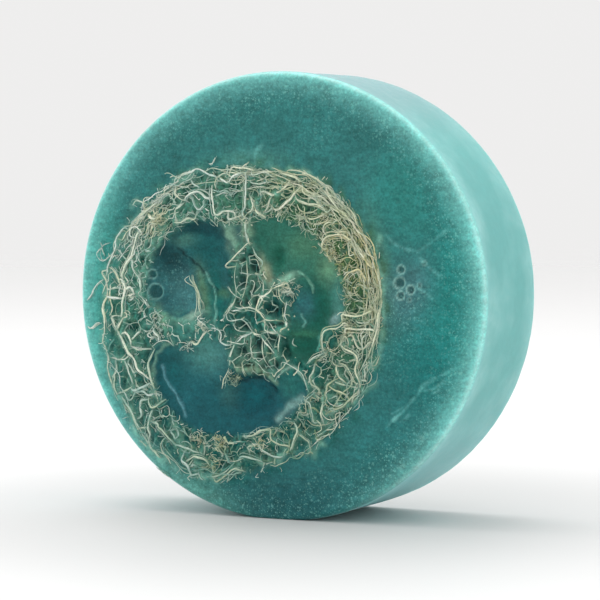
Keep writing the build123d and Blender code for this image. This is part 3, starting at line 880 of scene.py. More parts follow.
    def break_bubbles(self):
        """Opens the bubbles: a bowl with rings of painted shade in it, and a raised lip with a painted
        highlight round it.
        """
        for centre, size in BUBBLES:
            away = np.hypot(self.x - centre[0], self.z - centre[1])
            bowl = np.clip(1 - (away / size) ** 2, 0, 1)
            lip = fading(away - size, LIP_WIDTH)
            self.depth += 0.6 * size * np.sqrt(bowl) - LIP_HEIGHT * lip
            rings = 0.35 + 0.65 * np.cos(math.pi * away / (0.42 * size)) ** 2
            clear = 1.0 if centre[0] > 0 else 0.6
            # Painted shade in the bowl, and a painted highlight on the lip
            self.paint(BUBBLE_SHADOW, 0.55 * clear * rings * bowl**0.25)
            self.paint(BUBBLE_LIP_HIGHLIGHT, min(0.6, 0.8 * size) * clear * lip)

    def froth_up(self):
        """Adds froth: most near the rim, some in patches, and little between the strands."""
        x, z = self.x, self.z
        at_rim = smooth(self.radius, RADIUS - 9.0, RADIUS - 1.0)
        froth = 1.5 * at_rim * (0.75 + 0.25 * np.cos(self.angle + 0.2))
        froth += fading(np.hypot(x - 23, z + 3), 5.0)
        froth += 0.15 + 0.40 * smooth(waves(x, z, 11.0, 11), 0.2, 1.4)
        froth *= 1 - 0.75 * self.web
        froth += 0.8 * pool_share(x, z, (-19.4, 1.8), (4.0, 4.0))
        self.froth = froth

    def milk_and_light_rim(self):
        """Makes the rim milky and paints light on it, apart from its foot, which stays in shade."""
        # Painted rim light: the rim is lit all round but at its foot, which is in shade, and a little less
        # at the upper left
        low = turned(self.angle, FOOT_HEADING)
        lit = 1 - 0.97 * fading(low, np.where(low < 0, 1.05, 0.56))
        lit *= 0.84 - 0.12 * np.cos(self.angle - math.radians(DULL_HEADING))
        near = np.clip((self.radius - RADIUS + MILK_AND_LIGHT_REACH) / MILK_AND_LIGHT_REACH, 0, 1)
        self.milk += lit * near**2.6

    def marks(self):
        """What the soap's material reads at each place."""
        thatch = self.web * (1 - self.in_fill) * (1 - 0.75 * self.film)
        return {"milk": self.milk, "froth": self.froth, "thatch": thatch, "stain": self.stain}


def poured_face(from_axis, z):
    """The finished face at these places, which are arrays of X and Z from the axis."""
    face = PouredFace(from_axis, z)
    face.cloud_outside()
    face.lay_bed()
    face.stretch_films()
    face.lighten_by_strands()
    face.fill_chambers()
    face.wrinkle_skin()
    face.break_bubbles()
    face.froth_up()
    face.milk_and_light_rim()
    return face


def puck_profile():
    """Rows of points from the front's middle to the back's: radius, Y, and if it's the front."""
    fine = np.arange(0.25, 31.0, 0.25)
    coarse = np.arange(31.4, RADIUS - FRONT_ROUNDING, 0.45)
    rows = [(r, POURED_Y, True) for r in np.concatenate([fine, coarse])]
    for turn in np.linspace(0, math.pi / 2, 7):
        r = RADIUS - FRONT_ROUNDING * (1 - math.sin(turn))
        rows.append((r, POURED_Y + FRONT_ROUNDING * (1 - math.cos(turn)), True))
    start = POURED_Y + FRONT_ROUNDING
    end = BACK_Y - BACK_ROUNDING
    for share in np.linspace(0, 1, 12)[1:-1]:
        rows.append((RADIUS, start + share * (end - start), False))
    for turn in np.linspace(0, math.pi / 2, 6):
        r = RADIUS - BACK_ROUNDING * (1 - math.cos(turn))
        rows.append((r, end + BACK_ROUNDING * math.sin(turn), False))
    for r in np.concatenate([np.arange(RADIUS - 1.2, 3.0, -1.1), [2.0]]):
        rows.append((r, BACK_Y, False))
    return rows


SPOKES = 512  # points in each row round the axis


def casting_points(rows):
    """The points of the casting's skin, which of them are the front, and their marks."""
    spokes = np.linspace(0, 2 * math.pi, SPOKES, endpoint=False)
    # The middle of the front and the middle of the back come last
    radius = np.append(np.repeat([row[0] for row in rows], SPOKES), [0.001, 0.001])
    y = np.append(np.repeat([row[1] for row in rows], SPOKES), [POURED_Y, BACK_Y])
    front = np.append(np.repeat([row[2] for row in rows], SPOKES), [True, False])
    angle = np.append(np.tile(spokes, len(rows)), [0.0, 0.0])
    x = radius * np.cos(angle)
    z = radius * np.sin(angle)

    face = poured_face(x, z)
    relief = face.depth * (1 - smooth(radius, RADIUS - 2.0, RADIUS - 0.6))
    y += np.where(front, relief, 0.0)
    around = angle * RADIUS
    swell = 0.06 * waves(around, y, 16.0, 21) + 0.02 * waves(around, y, 4.0, 22)
    at_wall = smooth(y, POURED_Y, POURED_Y + 4) * (radius > RADIUS - 0.1)
    shrink = 1 - at_wall * np.abs(swell) / RADIUS
    height = np.maximum(z * shrink + AXIS_Z, 0.0)
    return np.column_stack([x * shrink, y, height]), front, face.marks()


def casting_faces(row_count):
    """The skin's faces: four-sided between the rows, and a fan round each middle."""
    first = np.arange(SPOKES)
    after = np.roll(first, -1)
    last = (row_count - 1) * SPOKES
    hub = row_count * SPOKES
    tail = hub + 1
    faces = []
    for start in range(0, last, SPOKES):
        ahead = start + SPOKES
        band = (start + first, start + after, ahead + after, ahead + first)
        faces += np.column_stack(band).tolist()
    faces += [(hub, b, a) for a, b in zip(first.tolist(), after.tolist())]
    faces += [(tail, last + a, last + b) for a, b in zip(first.tolist(), after.tolist())]
    return faces


def add_marks(mesh, marks):
    """Gives the mesh's points their marks, each one value or three for each point."""
    for name, values in marks.items():
        kind, field = ("FLOAT", "value") if values.ndim == 1 else ("FLOAT_VECTOR", "vector")
        layer = mesh.attributes.new(name, kind, "POINT")
        layer.data.foreach_set(field, values.astype(np.float32).ravel())


def add_piece(mesh):
    """Puts a mesh into the scene as a smooth piece."""
    mesh.shade_smooth()
    piece = bpy.data.objects.new(mesh.name, mesh)
    bpy.context.scene.collection.objects.link(piece)
    return piece


def build_casting():
    """The whole casting as one closed skin, with the relief of its poured face."""
    rows = puck_profile()
    points, front, marks = casting_points(rows)
    mesh = bpy.data.meshes.new("soap_casting")
    mesh.from_pydata((points * MM).tolist(), [], casting_faces(len(rows)))
    # The rest is plain, and the slice shows faintly through the back
    marks["stain"][~front] = toward(marks["stain"][~front], BACK_TEAL, 0.6)
    marks["thatch"][~front] *= 0.8
    marks["milk"][~front] = 0.0
    marks["froth"][~front] = 0.0
    add_marks(mesh, marks)
    return add_piece(mesh)


# ---------------------------------------------------------------- loofah strands

THICK_STRAND = 0.11  # strands with a larger radius than this get more sides and more rings
TIP_LENGTH = 0.6  # how far a strand's pointed tips reach, for a thickness of 1
ROUGHNESS = 0.16  # how much a strand's thickness changes from place to place
SWELL = 0.22  # how much it changes slowly along the strand
KINK = 0.07  # how far a strand strays from its path


def drawn_out(values, count):
    """The values spread out evenly to this many, with those between worked out."""
    return np.interp(np.linspace(0, len(values) - 1, count), range(len(values)), values)


def yellowing(x, z):
    """How far the fibre has yellowed at each place, from 0 to 1."""
    return np.maximum.reduce([
        strength * np.exp(-((x - a) ** 2 + (z - b) ** 2) / reach**2)
        for (a, b), reach, strength in YELLOWED
    ])


class Strands:
    """Gathers strands, each a swept tube, and makes one mesh of them."""

    def __init__(self, name, seed):
        self.name = name
        self.draw = np.random.default_rng(seed)
        self.points = []
        self.faces = []
        self.marks = []
        self.count = 0

    def add(self, points, radius, taper=0.6, flare=0.0, soak=0.0, fade=0.0):
        """One strand through points of X, depth, Z. taper is the share left at its tips, flare how
        much thicker its ends are, and fade how much more soaked they look. soak is a value, or a
        range that the draw picks from."""
        draw = self.draw
        sides, spacing = (6, 0.35) if radius > THICK_STRAND else (4, 0.5)
        path = curve_through(points, spacing)
        sway = draw.normal(0, KINK, (len(path) // 3 + 2, 3))
        path += np.column_stack([drawn_out(lane, len(path)) for lane in sway.T])
        along = np.linspace(-1, 1, len(path))
        thick = radius * (1 + flare * along**2)
        if flare == 0:
            thick = thick * (taper + (1 - taper) * np.sqrt(np.clip(1 - along**4, 0, 1)))
        swell = draw.normal(0, SWELL, len(path) // 4 + 2)
        thick = thick * np.clip(1 + drawn_out(swell, len(path)), 0.5, 1.7)
        thick = thick * (1 + ROUGHNESS * draw.uniform(-1, 1, len(path)))
        self.sweep(path, thick, sides)

        tone = draw.uniform(0.0, 0.5) + 0.25 * float(smooth(path[0, 0], -16.0, 6.0))
        soak = draw.uniform(*soak) if isinstance(soak, tuple) else soak
        soaked = np.clip(soak + fade * along**2, 0, 1)
        gold = yellowing(path[:, 0], path[:, 2]) * draw.uniform(0.3, 1.0)
        marks = np.column_stack([tone + (1 - tone) * gold, soaked])
        self.marks.append(np.vstack([np.repeat(marks, sides, axis=0), marks[0], marks[-1]]))

    def sweep(self, path, thick, sides):
        """Adds a tube along the path: a ring at each of its points, and a tip at each end."""
        tangent = np.gradient(path, axis=0)
        tangent /= np.maximum(np.linalg.norm(tangent, axis=1), 1e-9)[:, None]
        side = np.cross(tangent, (0.0, 1.0, 0.0))
        weak = np.linalg.norm(side, axis=1) < 0.2
        side[weak] = np.cross(tangent[weak], (1.0, 0.0, 0.0))
        side /= np.linalg.norm(side, axis=1)[:, None]
        up = np.cross(side, tangent)
        turn = np.linspace(0, 2 * math.pi, sides, endpoint=False)
        across = thick[:, None, None] * np.cos(turn)[None, :, None] * side[:, None, :]
        outward = thick[:, None, None] * np.sin(turn)[None, :, None] * up[:, None, :]
        ring = (path[:, None, :] + across + outward).reshape(-1, 3)
        near_tip = path[0] - tangent[0] * thick[0] * TIP_LENGTH
        far_tip = path[-1] + tangent[-1] * thick[-1] * TIP_LENGTH
        self.points.append(np.vstack([ring, near_tip, far_tip]))

        first = self.count
        last = first + (len(path) - 1) * sides
        tip = first + len(path) * sides
        lanes = list(range(sides))
        pairs = list(zip(lanes, lanes[1:] + lanes[:1]))
        for start in range(first, last, sides):
            end = start + sides
            self.faces += [(start + i, start + j, end + j, end + i) for i, j in pairs]
        self.faces += [(tip, first + j, first + i) for i, j in pairs]
        self.faces += [(tip + 1, last + i, last + j) for i, j in pairs]
        self.count = tip + 2

    def piece(self, material, *nodes):
        """Makes the finished piece, standing for these CAD nodes."""
        shift = (SLICE_SHIFT, POURED_Y, AXIS_Z)
        mesh = bpy.data.meshes.new(self.name)
        mesh.from_pydata(((np.vstack(self.points) + shift) * MM).tolist(), [], self.faces)
        add_marks(mesh, dict(zip(("tone", "soak"), np.vstack(self.marks).T)))
        mesh.materials.append(material)
        made = add_piece(mesh)
        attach(made, "root")
        if nodes:
            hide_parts(*nodes)


soap_depth = Field(lambda x, z: poured_face(x + SLICE_SHIFT, z).depth)


def rooted(x, depth, z):
    """The end of a strand, brought most of the way to the soap's surface."""
    return x, 0.35 * depth + 0.65 * float(soap_depth(x, z)) + 0.05, z


def main_strand(strands, width, soak, places, share, lift=0.0, beside=2):
    """A strand from the lists at a share of its width, with thin ones beside it. The less soaked
    it is, the further its middle stands out of the soap. One more lies behind it in the back."""
    draw = strands.draw
    soak = min(1.0, soak + draw.uniform(0.0, 0.16))
    level = draw.uniform(-0.40, 0.05) + 0.6 * soak - lift
    path = [(x, level + draw.normal(0, 0.12), z) for x, z in places]
    path = [rooted(*path[0]), *path[1:-1], rooted(*path[-1])]
    radius = share * width / 2
    strands.add(path, radius, taper=0.55, soak=soak, fade=0.3)
    for _ in range(beside):
        aside = draw.normal(0, 0.12 + 0.35 * width, 2)
        thin = [(x + aside[0], depth + 0.12, z + aside[1]) for x, depth, z in path]
        strands.add(thin, draw.uniform(0.04, 0.08), soak=(soak, min(1.0, soak + 0.5)), fade=0.3)
    thickness = BACK_Y - POURED_Y
    behind = [(x, thickness - draw.uniform(-0.04, 0.10), z) for x, depth, z in path]
    strands.add(behind, 0.8 * radius, taper=0.4, soak=(0.35, 0.7), fade=0.4)


def round_middle(x, z):
    """The angle of a place round the slice's middle, and its distance from it."""
    across = x - MIDDLE[0]
    up = z - MIDDLE[1]
    return np.arctan2(up, across), np.hypot(across, up)


def reach_of(loop):
    """The angles of an outline round the slice's middle, rising, and its reach at each."""
    angle, reach = round_middle(loop[:, 0], loop[:, 1])
    order = np.argsort(angle)
    return angle[order], reach[order]


OUTER_REACH = reach_of(hoop_outside)
INNER_REACH = reach_of(hoop_inside)


def wall_reach(angle):
    """How far the inside and the outside of the hoop wall are from the middle at an angle."""
    return [np.interp(angle, *reach, period=2 * math.pi) for reach in (INNER_REACH, OUTER_REACH)]


def in_wall(angle, share):
    """X and Z of a place in the hoop wall: share 0 is its inside, and 1 its outside."""
    inner, outer = wall_reach(angle)
    reach = inner + share * (outer - inner)
    return MIDDLE[0] + reach * np.cos(angle), MIDDLE[1] + reach * np.sin(angle)


def wall_place(x, z):
    """The angle of a place round the slice's middle, and its share of the way across the wall."""
    angle, reach = round_middle(x, z)
    inner, outer = wall_reach(angle)
    return angle, (reach - inner) / (outer - inner)


def wall_share(x, z):
    """How far across the hoop wall a place lies, from 0 at its inside to 1 at its outside."""
    return wall_place(x, z)[1]


def scattered(draw, keep, spacing, low, high, tries=9000):
    """Places in a box that keep accepts and that stand about a spacing apart."""
    # Kept places are filed by the square millimetre that they lie in
    grid = {}
    kept = []
    for x, z in draw.uniform(low, high, (tries, 2)):
        if not keep(x, z):
            continue
        gap = spacing(x, z)
        reach = int(gap) + 1
        column, row = int(x // 1), int(z // 1)
        near = (
            other
            for i in range(column - reach, column + reach + 1)
            for j in range(row - reach, row + reach + 1)
            for other in grid.get((i, j), ())
        )
        if all(math.hypot(x - a, z - b) >= gap for a, b in near):
            grid.setdefault((column, row), []).append((x, z))
            kept.append((x, z))
    return kept


def cell_net(places):
    """A net whose cells surround the places: its nodes, and its struts as pairs of nodes."""
    found = delaunay_2d_cdt([Vector(p) for p in places], [], [], 0, 1e-6)
    corners, triangles = found[0], found[2]
    nodes = [sum((corners[i] for i in t), Vector((0, 0))) / len(t) for t in triangles]
    across = {}
    for number, triangle in enumerate(triangles):
        for a, b in zip(triangle, list(triangle[1:]) + [triangle[0]]):
            across.setdefault(frozenset((a, b)), []).append(number)
    return nodes, [pair for pair in across.values() if len(pair) == 2]


LONGEST_STRUT = 5.0
SHORTEST_STRUT = 0.15


def net_layer(strands, places, keep, kept_share, sway, depth, radius, soak):
    """Adds a net of curved struts. depth is a range below the soap's surface."""
    draw = strands.draw
    nodes, struts = cell_net(places)
    node_depth = [draw.uniform(*depth) + float(soap_depth(n.x, n.y)) for n in nodes]
    for a, b in struts:
        start, end = nodes[a], nodes[b]
        length = (end - start).length
        middle = (start + end) / 2
        chosen = draw.uniform() < kept_share
        sag = draw.normal(0, sway) * length
        dip = draw.normal(0, 0.25)
        thick = draw.uniform(*radius)
        fits = SHORTEST_STRUT <= length <= LONGEST_STRUT
        if not chosen or not fits or not keep(middle.x, middle.y):
            continue
        across = Vector((-(end - start).y, (end - start).x)) / length
        bend = middle + across * sag
        path = [
            (start.x, node_depth[a], start.y),
            (bend.x, (node_depth[a] + node_depth[b]) / 2 + dip, bend.y),
            (end.x, node_depth[b], end.y),
        ]
        strands.add(path, thick, flare=0.7, soak=soak)


HOOP_REACH = 24.0  # about the hoop wall's distance from its middle


def tangential(strands, count, where, wander, share, length, depth, radius, soak):
    """Adds strands that run round the hoop. where gives how crowded an angle is, from 0 to 1."""
    draw = strands.draw
    steps = 6
    made = 0
    while made < count:
        angle = draw.uniform(-math.pi, math.pi)
        accepted = draw.uniform() < where(angle)
        size = draw.uniform(*length)
        start = draw.uniform(*share)
        level = draw.uniform(*depth)
        thick = draw.uniform(*radius)
        drift = draw.normal(0, 0.08)
        jitter = draw.normal(0, 1, (steps, 2))
        if not accepted:
            continue
        made += 1
        path = []
        for step in range(steps):
            turn = angle + step / (steps - 1) * size / HOOP_REACH
            place = start + drift * step / (steps - 1) + wander * jitter[step, 0]
            x, z = in_wall(turn, place)
            path.append((x, level + 0.14 * jitter[step, 1] + 0.7 * float(soap_depth(x, z)), z))
        strands.add(path, thick, soak=soak)


def stubs(strands, count, where, share, length, depth, radius, soak):
    """Tries this many times to add a short cut end. They point every way, and where gives the
    share that is kept at an angle round the hoop."""
    draw = strands.draw
    for _ in range(count):
        angle = draw.uniform(-math.pi, math.pi)
        place = draw.uniform(*share)
        heading = draw.normal(0, 1, 3) * (1.0, 0.8, 1.0)
        heading /= np.linalg.norm(heading)
        size = draw.uniform(*length)
        level = draw.uniform(*depth)
        thick = draw.uniform(*radius)
        bend = draw.normal(0, 0.22, 3)
        if draw.uniform() > where(angle):
            continue
        x, z = in_wall(angle, place)
        start = np.array([x, level + float(soap_depth(x, z)), z])
        middle = start + heading * size / 2 + bend * size
        strands.add([start, middle, start + heading * size], thick, soak=soak)


def curls(strands, count, where, share, size, depth, radius, soak):
    """Adds strands that curl round on themselves, each an arc of part of a turn."""
    draw = strands.draw
    made = 0
    while made < count:
        angle = draw.uniform(-math.pi, math.pi)
        accepted = draw.uniform() < where(angle)
        place = draw.uniform(*share)
        reach = draw.uniform(*size)
        sweep = draw.uniform(2.0, 4.6) * draw.choice([-1, 1])
        begin = draw.uniform(0, 2 * math.pi)
        level = draw.uniform(*depth)
        thick = draw.uniform(*radius)
        squeeze = draw.uniform(0.6, 1.0)
        lean = draw.uniform(-0.4, 0.4)
        if not accepted:
            continue
        made += 1
        x, z = in_wall(angle, place)
        level += float(soap_depth(x, z))
        path = []
        for step in np.linspace(0, 1, 7):
            turn = begin + sweep * step
            path.append((
                x + reach * math.cos(turn),
                level + lean * (step - 0.5),
                z + reach * squeeze * math.sin(turn),
            ))
        strands.add(path, thick, soak=soak)


def tangle(strands, centre, reach, count):
    """Adds a tangle of short, curling fibre round a place."""
    draw = strands.draw
    for _ in range(count):
        x, z = draw.normal(centre, 0.5 * reach)
        level = float(soap_depth(x, z)) + draw.uniform(-0.5, 0.0)
        heading = draw.normal(0, 1, 3) * (1.0, 0.6, 1.0)
        heading *= draw.uniform(0.4, 1.3) / np.linalg.norm(heading)
        bend = draw.normal(0, 0.3, 3)
        start = np.array([x, level, z])
        path = [start, start + heading / 2 + bend, start + heading]
        strands.add(path, draw.uniform(0.035, 0.075), soak=(0.0, 0.7))


# ---------------------------------------------------------------- materials

# Base colours, linear
FROTH_WHITE = (0.260, 0.660, 0.590)
# painted highlight along the rounded edge of the poured face
EDGE_HIGHLIGHT = (0.600, 0.840, 0.810)
WALL_DEEP = (0.150, 0.450, 0.430)
WALL_TEAL = (0.205, 0.520, 0.500)
# the wall's paler colour: partly frost, partly painted sheen
WALL_MINT_SHEEN = (0.310, 0.640, 0.620)
# painted shade at the wall's crown
WALL_CROWN_SHADE = (0.250, 0.385, 0.410)
# painted light at the wall's foot
WALL_FOOT_LIGHT = (0.400, 0.740, 0.780)
IVORY = (0.940, 0.970, 0.750)
CREAM = (0.870, 1.000, 0.930)
STRAW = (0.690, 0.740, 0.440)
GOLD = (0.780, 0.680, 0.340)
SOAKED_TEAL = (0.052, 0.280, 0.235)
SOAKED_OLIVE = (0.180, 0.270, 0.100)
# painted shade on the floor round the object
PAPER_SHADED = (0.660, 0.660, 0.660)
PAPER_FAR = (0.800, 0.800, 0.800)


def new_material(name):
    """A new material, its node tree and its Principled shader."""
    material = bpy.data.materials.new(name)
    material.use_nodes = True
    tree = material.node_tree
    shader = next(n for n in tree.nodes if n.type == "BSDF_PRINCIPLED")
    return material, tree, shader


def node(tree, kind, inputs=None, **settings):
    """A node of this kind with its settings, and its inputs set or linked by name or number."""
    made = tree.nodes.new(kind)
    for name, value in settings.items():
        setattr(made, name, value)
    for key, value in (inputs or {}).items():
        socket = made.inputs[key]
        if isinstance(value, bpy.types.NodeSocket):
            tree.links.new(value, socket)
        else:
            socket.default_value = value
    return made


def mixed(tree, share, a, b, blend="MIX"):
    """The colour a mixed towards b by a share."""
    made = node(tree, "ShaderNodeMix", data_type="RGBA", blend_type=blend, clamp_factor=True)
    for socket, value in ((made.inputs[0], share), (made.inputs[6], a), (made.inputs[7], b)):
        if isinstance(value, bpy.types.NodeSocket):
            tree.links.new(value, socket)
        elif isinstance(value, tuple) and len(value) == 3:
            socket.default_value = (*value, 1.0)
        else:
            socket.default_value = value
    return made.outputs[2]


def sums(tree, operation, a, b=0.0):
    """What an operation of Blender's makes of one or two values."""
    return node(tree, "ShaderNodeMath", {0: a, 1: b}, operation=operation).outputs[0]


def product(tree, first, *others):
    """The values multiplied together."""
    for other in others:
        first = sums(tree, "MULTIPLY", first, other)
    return first


def ranged(tree, value, low, high, to_low=0.0, to_high=1.0, smoothed=False):
    """A value brought from one range to another and held within it."""
    kind = "SMOOTHSTEP" if smoothed else "LINEAR"
    inputs = {0: value, 1: low, 2: high, 3: to_low, 4: to_high}
    return node(tree, "ShaderNodeMapRange", inputs, interpolation_type=kind).outputs[0]


def noise(tree, where, size, detail=3.0, rough=0.5):
    """Noise with features of about this size in millimetres."""
    inputs = {"Vector": where, "Scale": 1 / (size * MM), "Detail": detail, "Roughness": rough}
    return node(tree, "ShaderNodeTexNoise", inputs).outputs[0]


def blotches(tree, where, size, low, high, to_low, to_high, detail=3.0, rough=0.5):
    """Noise of this size, with its values from low to high brought to another range."""
    return ranged(tree, noise(tree, where, size, detail, rough), low, high, to_low, to_high)


def attribute(tree, name, output="Fac"):
    """A mark on the mesh's points."""
    return node(tree, "ShaderNodeAttribute", attribute_name=name).outputs[output]


def set_inputs(shader, **values):
    """Sets sockets of a shader, each named with underscores for its spaces."""
    for name, value in values.items():
        shader.inputs[name.replace("_", " ")].default_value = value


def roughen(tree, shader, height, strength, distance):
    """Gives a shader's surface bumps from a height, for a distance in millimetres."""
    inputs = {"Height": height, "Strength": strength, "Distance": distance * MM}
    bump = node(tree, "ShaderNodeBump", inputs)
    tree.links.new(bump.outputs[0], shader.inputs["Normal"])


def fine_thatch(tree, where):
    """Fine, pale, crossing fibres in the soap between the strands."""
    fine = 0.0
    for size, weight in ((2.4, 0.55), (1.5, 0.5), (0.9, 0.4)):
        ridge = sums(tree, "ABSOLUTE", sums(tree, "SUBTRACT", noise(tree, where, size, 1), 0.5))
        fine = sums(tree, "ADD", fine, ranged(tree, ridge, 0.0, 0.06, weight, 0.0))
    patch = blotches(tree, where, 2.6, 0.35, 0.65, 0.35, 1.0)
    fine = product(tree, fine, patch, attribute(tree, "thatch"))
    return ranged(tree, fine, 0.0, 1.0, 0.0, 0.6)


def froth_dots(tree, where):
    """Small round bubbles of three sizes, in patches, as many as the mark says."""
    foam = 0.0
    for size in (0.62, 0.38, 0.27):
        dots = node(tree, "ShaderNodeTexVoronoi", {"Vector": where, "Scale": 1 / (size * MM)})
        pick = node(tree, "ShaderNodeSeparateColor", {0: dots.outputs["Color"]}).outputs[0]
        limit = ranged(tree, pick, 0.25, 1.0, 0.0, 0.50)
        dot = ranged(tree, sums(tree, "SUBTRACT", limit, dots.outputs["Distance"]), 0.0, 0.15)
        foam = sums(tree, "ADD", foam, product(tree, dot, 0.7))
    patch = blotches(tree, where, 3.0, 0.35, 0.70, 0.45, 1.0)
    return product(tree, foam, patch, attribute(tree, "froth"))


def face_colour(tree, where, milk, foam):
    """The poured face: its stain with fine fibre, milkiness and painted rim light, mottling and froth over
    it.
    """
    tilted = node(tree, "ShaderNodeMapping", {
        "Vector": where, "Rotation": (0.0, math.radians(38), 0.0), "Scale": (0.25, 1.0, 1.0),
    })
    shade = product(
        tree,
        blotches(tree, where, 9, 0.3, 0.7, 0.88, 1.12),
        blotches(tree, where, 1.3, 0.25, 0.75, 0.80, 1.20, detail=4, rough=0.6),
        blotches(tree, where, 0.38, 0.30, 0.70, 0.80, 1.20, detail=2, rough=0.6),
        blotches(tree, tilted.outputs[0], 0.8, 0.30, 0.70, 0.88, 1.12, detail=2),
    )
    face = mixed(tree, fine_thatch(tree, where), attribute(tree, "stain", "Color"), THATCH_COLOUR)
    # Milkiness and painted rim light, towards the rim's colour
    face = mixed(tree, ranged(tree, milk, 0.0, 1.0), face, RIM_COLOUR)
    face = mixed(tree, 1.0, face, shade, blend="MULTIPLY")
    return mixed(tree, ranged(tree, foam, 0.0, 1.0, 0.0, 0.48), face, FROTH_WHITE)


def wall_colour(tree, where, split):
    """The moulded wall: paler towards its edges, partly frost and partly painted sheen, with painted shade
    at the crown and painted light at the foot.
    """
    across = ranged(tree, split.outputs["Y"], POURED_Y * MM, BACK_Y * MM, -1.0, 1.0)
    across = sums(tree, "POWER", sums(tree, "ABSOLUTE", across), 2.5)
    frost_and_sheen = sums(tree, "ADD", across, blotches(tree, where, 7, 0.3, 0.7, -0.35, 0.35, detail=4))
    wall = mixed(tree, ranged(tree, frost_and_sheen, 0.0, 1.0), WALL_DEEP, WALL_MINT_SHEEN)
    wall = mixed(tree, blotches(tree, where, 1.2, 0.35, 0.7, 0.0, 0.48, detail=4), wall, WALL_TEAL)
    height = split.outputs["Z"]
    crown = ranged(tree, height, (AXIS_Z + 24) * MM, (AXIS_Z + 37) * MM, smoothed=True)
    foot = ranged(tree, height, (AXIS_Z - 12) * MM, (AXIS_Z - 34) * MM, smoothed=True)
    wall = mixed(tree, product(tree, crown, 0.75), wall, WALL_CROWN_SHADE)
    return mixed(tree, product(tree, foot, 0.42), wall, WALL_FOOT_LIGHT)


def edge_highlight_line(tree, where, depth, milk):
    """A painted highlight along the line where the poured face rounds over into the wall, laid where the
    rim is milky and lit.
    """
    away = sums(tree, "ABSOLUTE", sums(tree, "ADD", depth, 0.15 * MM))
    line = ranged(tree, away, 0, 0.6 * MM, 0.5, 0)
    uneven = blotches(tree, where, 1.6, 0.3, 0.7, 0.6, 1.1)
    return product(tree, line, uneven, ranged(tree, milk, 0.1, 0.7))


def near_rim(tree, split):
    """0 further in than the rim, and 1 at the puck's full radius."""
    height = sums(tree, "SUBTRACT", split.outputs["Z"], AXIS_Z * MM)
    reach = node(tree, "ShaderNodeCombineXYZ", {0: split.outputs["X"], 1: height})
    radius = node(tree, "ShaderNodeVectorMath", {0: reach.outputs[0]}, operation="LENGTH")
    return ranged(tree, radius.outputs["Value"], (RADIUS - 1.3) * MM, (RADIUS - 0.5) * MM)


WALL_START = 0.6  # how far behind the poured face the wall's look starts


def soap_material():
    """Translucent teal soap: cloudy inside, frothy near the rim, with a frost on the moulded wall, and
    painted light and shade at the rim, along its edge and on the wall.
    """
    material, tree, shader = new_material("soap")
    where = node(tree, "ShaderNodeTexCoord").outputs["Object"]
    split = node(tree, "ShaderNodeSeparateXYZ", {0: where})
    milk = attribute(tree, "milk")
    foam = froth_dots(tree, where)
    depth = sums(tree, "SUBTRACT", split.outputs["Y"], (POURED_Y + WALL_START) * MM)
    outer = near_rim(tree, split)
    on_wall = product(tree, ranged(tree, depth, 0.0, 0.7 * MM, smoothed=True), outer)
    face = face_colour(tree, where, milk, foam)
    skin = mixed(tree, on_wall, face, wall_colour(tree, where, split))
    # A painted highlight along the rounded edge
    edge = product(tree, edge_highlight_line(tree, where, depth, milk), outer)
    tree.links.new(mixed(tree, edge, skin, EDGE_HIGHLIGHT), shader.inputs["Base Color"])

    frost = blotches(tree, where, 1.2, 0.3, 0.7, 0.30, 0.46, detail=4)
    rough = sums(tree, "ADD", frost, ranged(tree, on_wall, 0.0, 1.0, 0.0, 0.12))
    tree.links.new(rough, shader.inputs["Roughness"])
    grain = sums(tree, "ADD", noise(tree, where, 0.5, 4, 0.6), product(tree, foam, 0.8))
    roughen(tree, shader, grain, strength=0.35, distance=0.08)
    set_inputs(
        shader,
        IOR=1.46,
        Specular_IOR_Level=0.15,
        Subsurface_Weight=0.8,
        Subsurface_Radius=(0.35, 1.0, 0.9),
        Subsurface_Scale=2.0 * MM,
    )
    return material


def loofah_material():
    """Dry cream fibre, straw in places, which looks teal where it lies deep in the soap."""
    material, tree, shader = new_material("loofah_fibre")
    where = node(tree, "ShaderNodeTexCoord").outputs["Object"]
    y = node(tree, "ShaderNodeSeparateXYZ", {0: where}).outputs["Y"]
    tone, soak = attribute(tree, "tone"), attribute(tree, "soak")
    fibre = mixed(tree, blotches(tree, where, 2.5, 0.40, 0.75, 0.0, 0.7), IVORY, STRAW)
    fibre = mixed(tree, ranged(tree, tone, 0.1, 0.5, 0.8, 0.0), fibre, CREAM)
    fibre = mixed(tree, ranged(tree, tone, 0.78, 1.0), fibre, GOLD)
    streak = blotches(tree, where, 0.3, 0.3, 0.7, 0.80, 1.12)
    fibre = mixed(tree, 1.0, fibre, streak, blend="MULTIPLY")

    # Fibre looks wetter the deeper it lies, from the front and from the back
    depth = ranged(tree, y, (POURED_Y - 0.1) * MM, (POURED_Y + 1.5) * MM, 0.0, 0.95)
    back = ranged(tree, y, (BACK_Y - 1.6) * MM, (BACK_Y - 0.1) * MM, 1.0, 0.35)
    rear = sums(tree, "GREATER_THAN", y, 0.0)
    under = node(tree, "ShaderNodeMix", {0: rear, 2: depth, 3: back}, data_type="FLOAT")
    wet = sums(tree, "MAXIMUM", under.outputs[0], soak)
    wet = sums(tree, "ADD", wet, blotches(tree, where, 1.5, 0.50, 0.75, 0.0, 0.40))
    wet = ranged(tree, wet, 0.0, 1.0, 0.0, 0.96)
    soaked = mixed(tree, ranged(tree, tone, 0.45, 0.85), SOAKED_TEAL, SOAKED_OLIVE)
    tree.links.new(mixed(tree, wet, fibre, soaked), shader.inputs["Base Color"])
    roughen(tree, shader, noise(tree, where, 0.2, 4, 0.6), strength=0.5, distance=0.05)
    set_inputs(
        shader,
        Roughness=0.5,
        Subsurface_Weight=0.35,
        Subsurface_Radius=(0.8, 1.0, 0.8),
        Subsurface_Scale=0.4 * MM,
    )
    return material


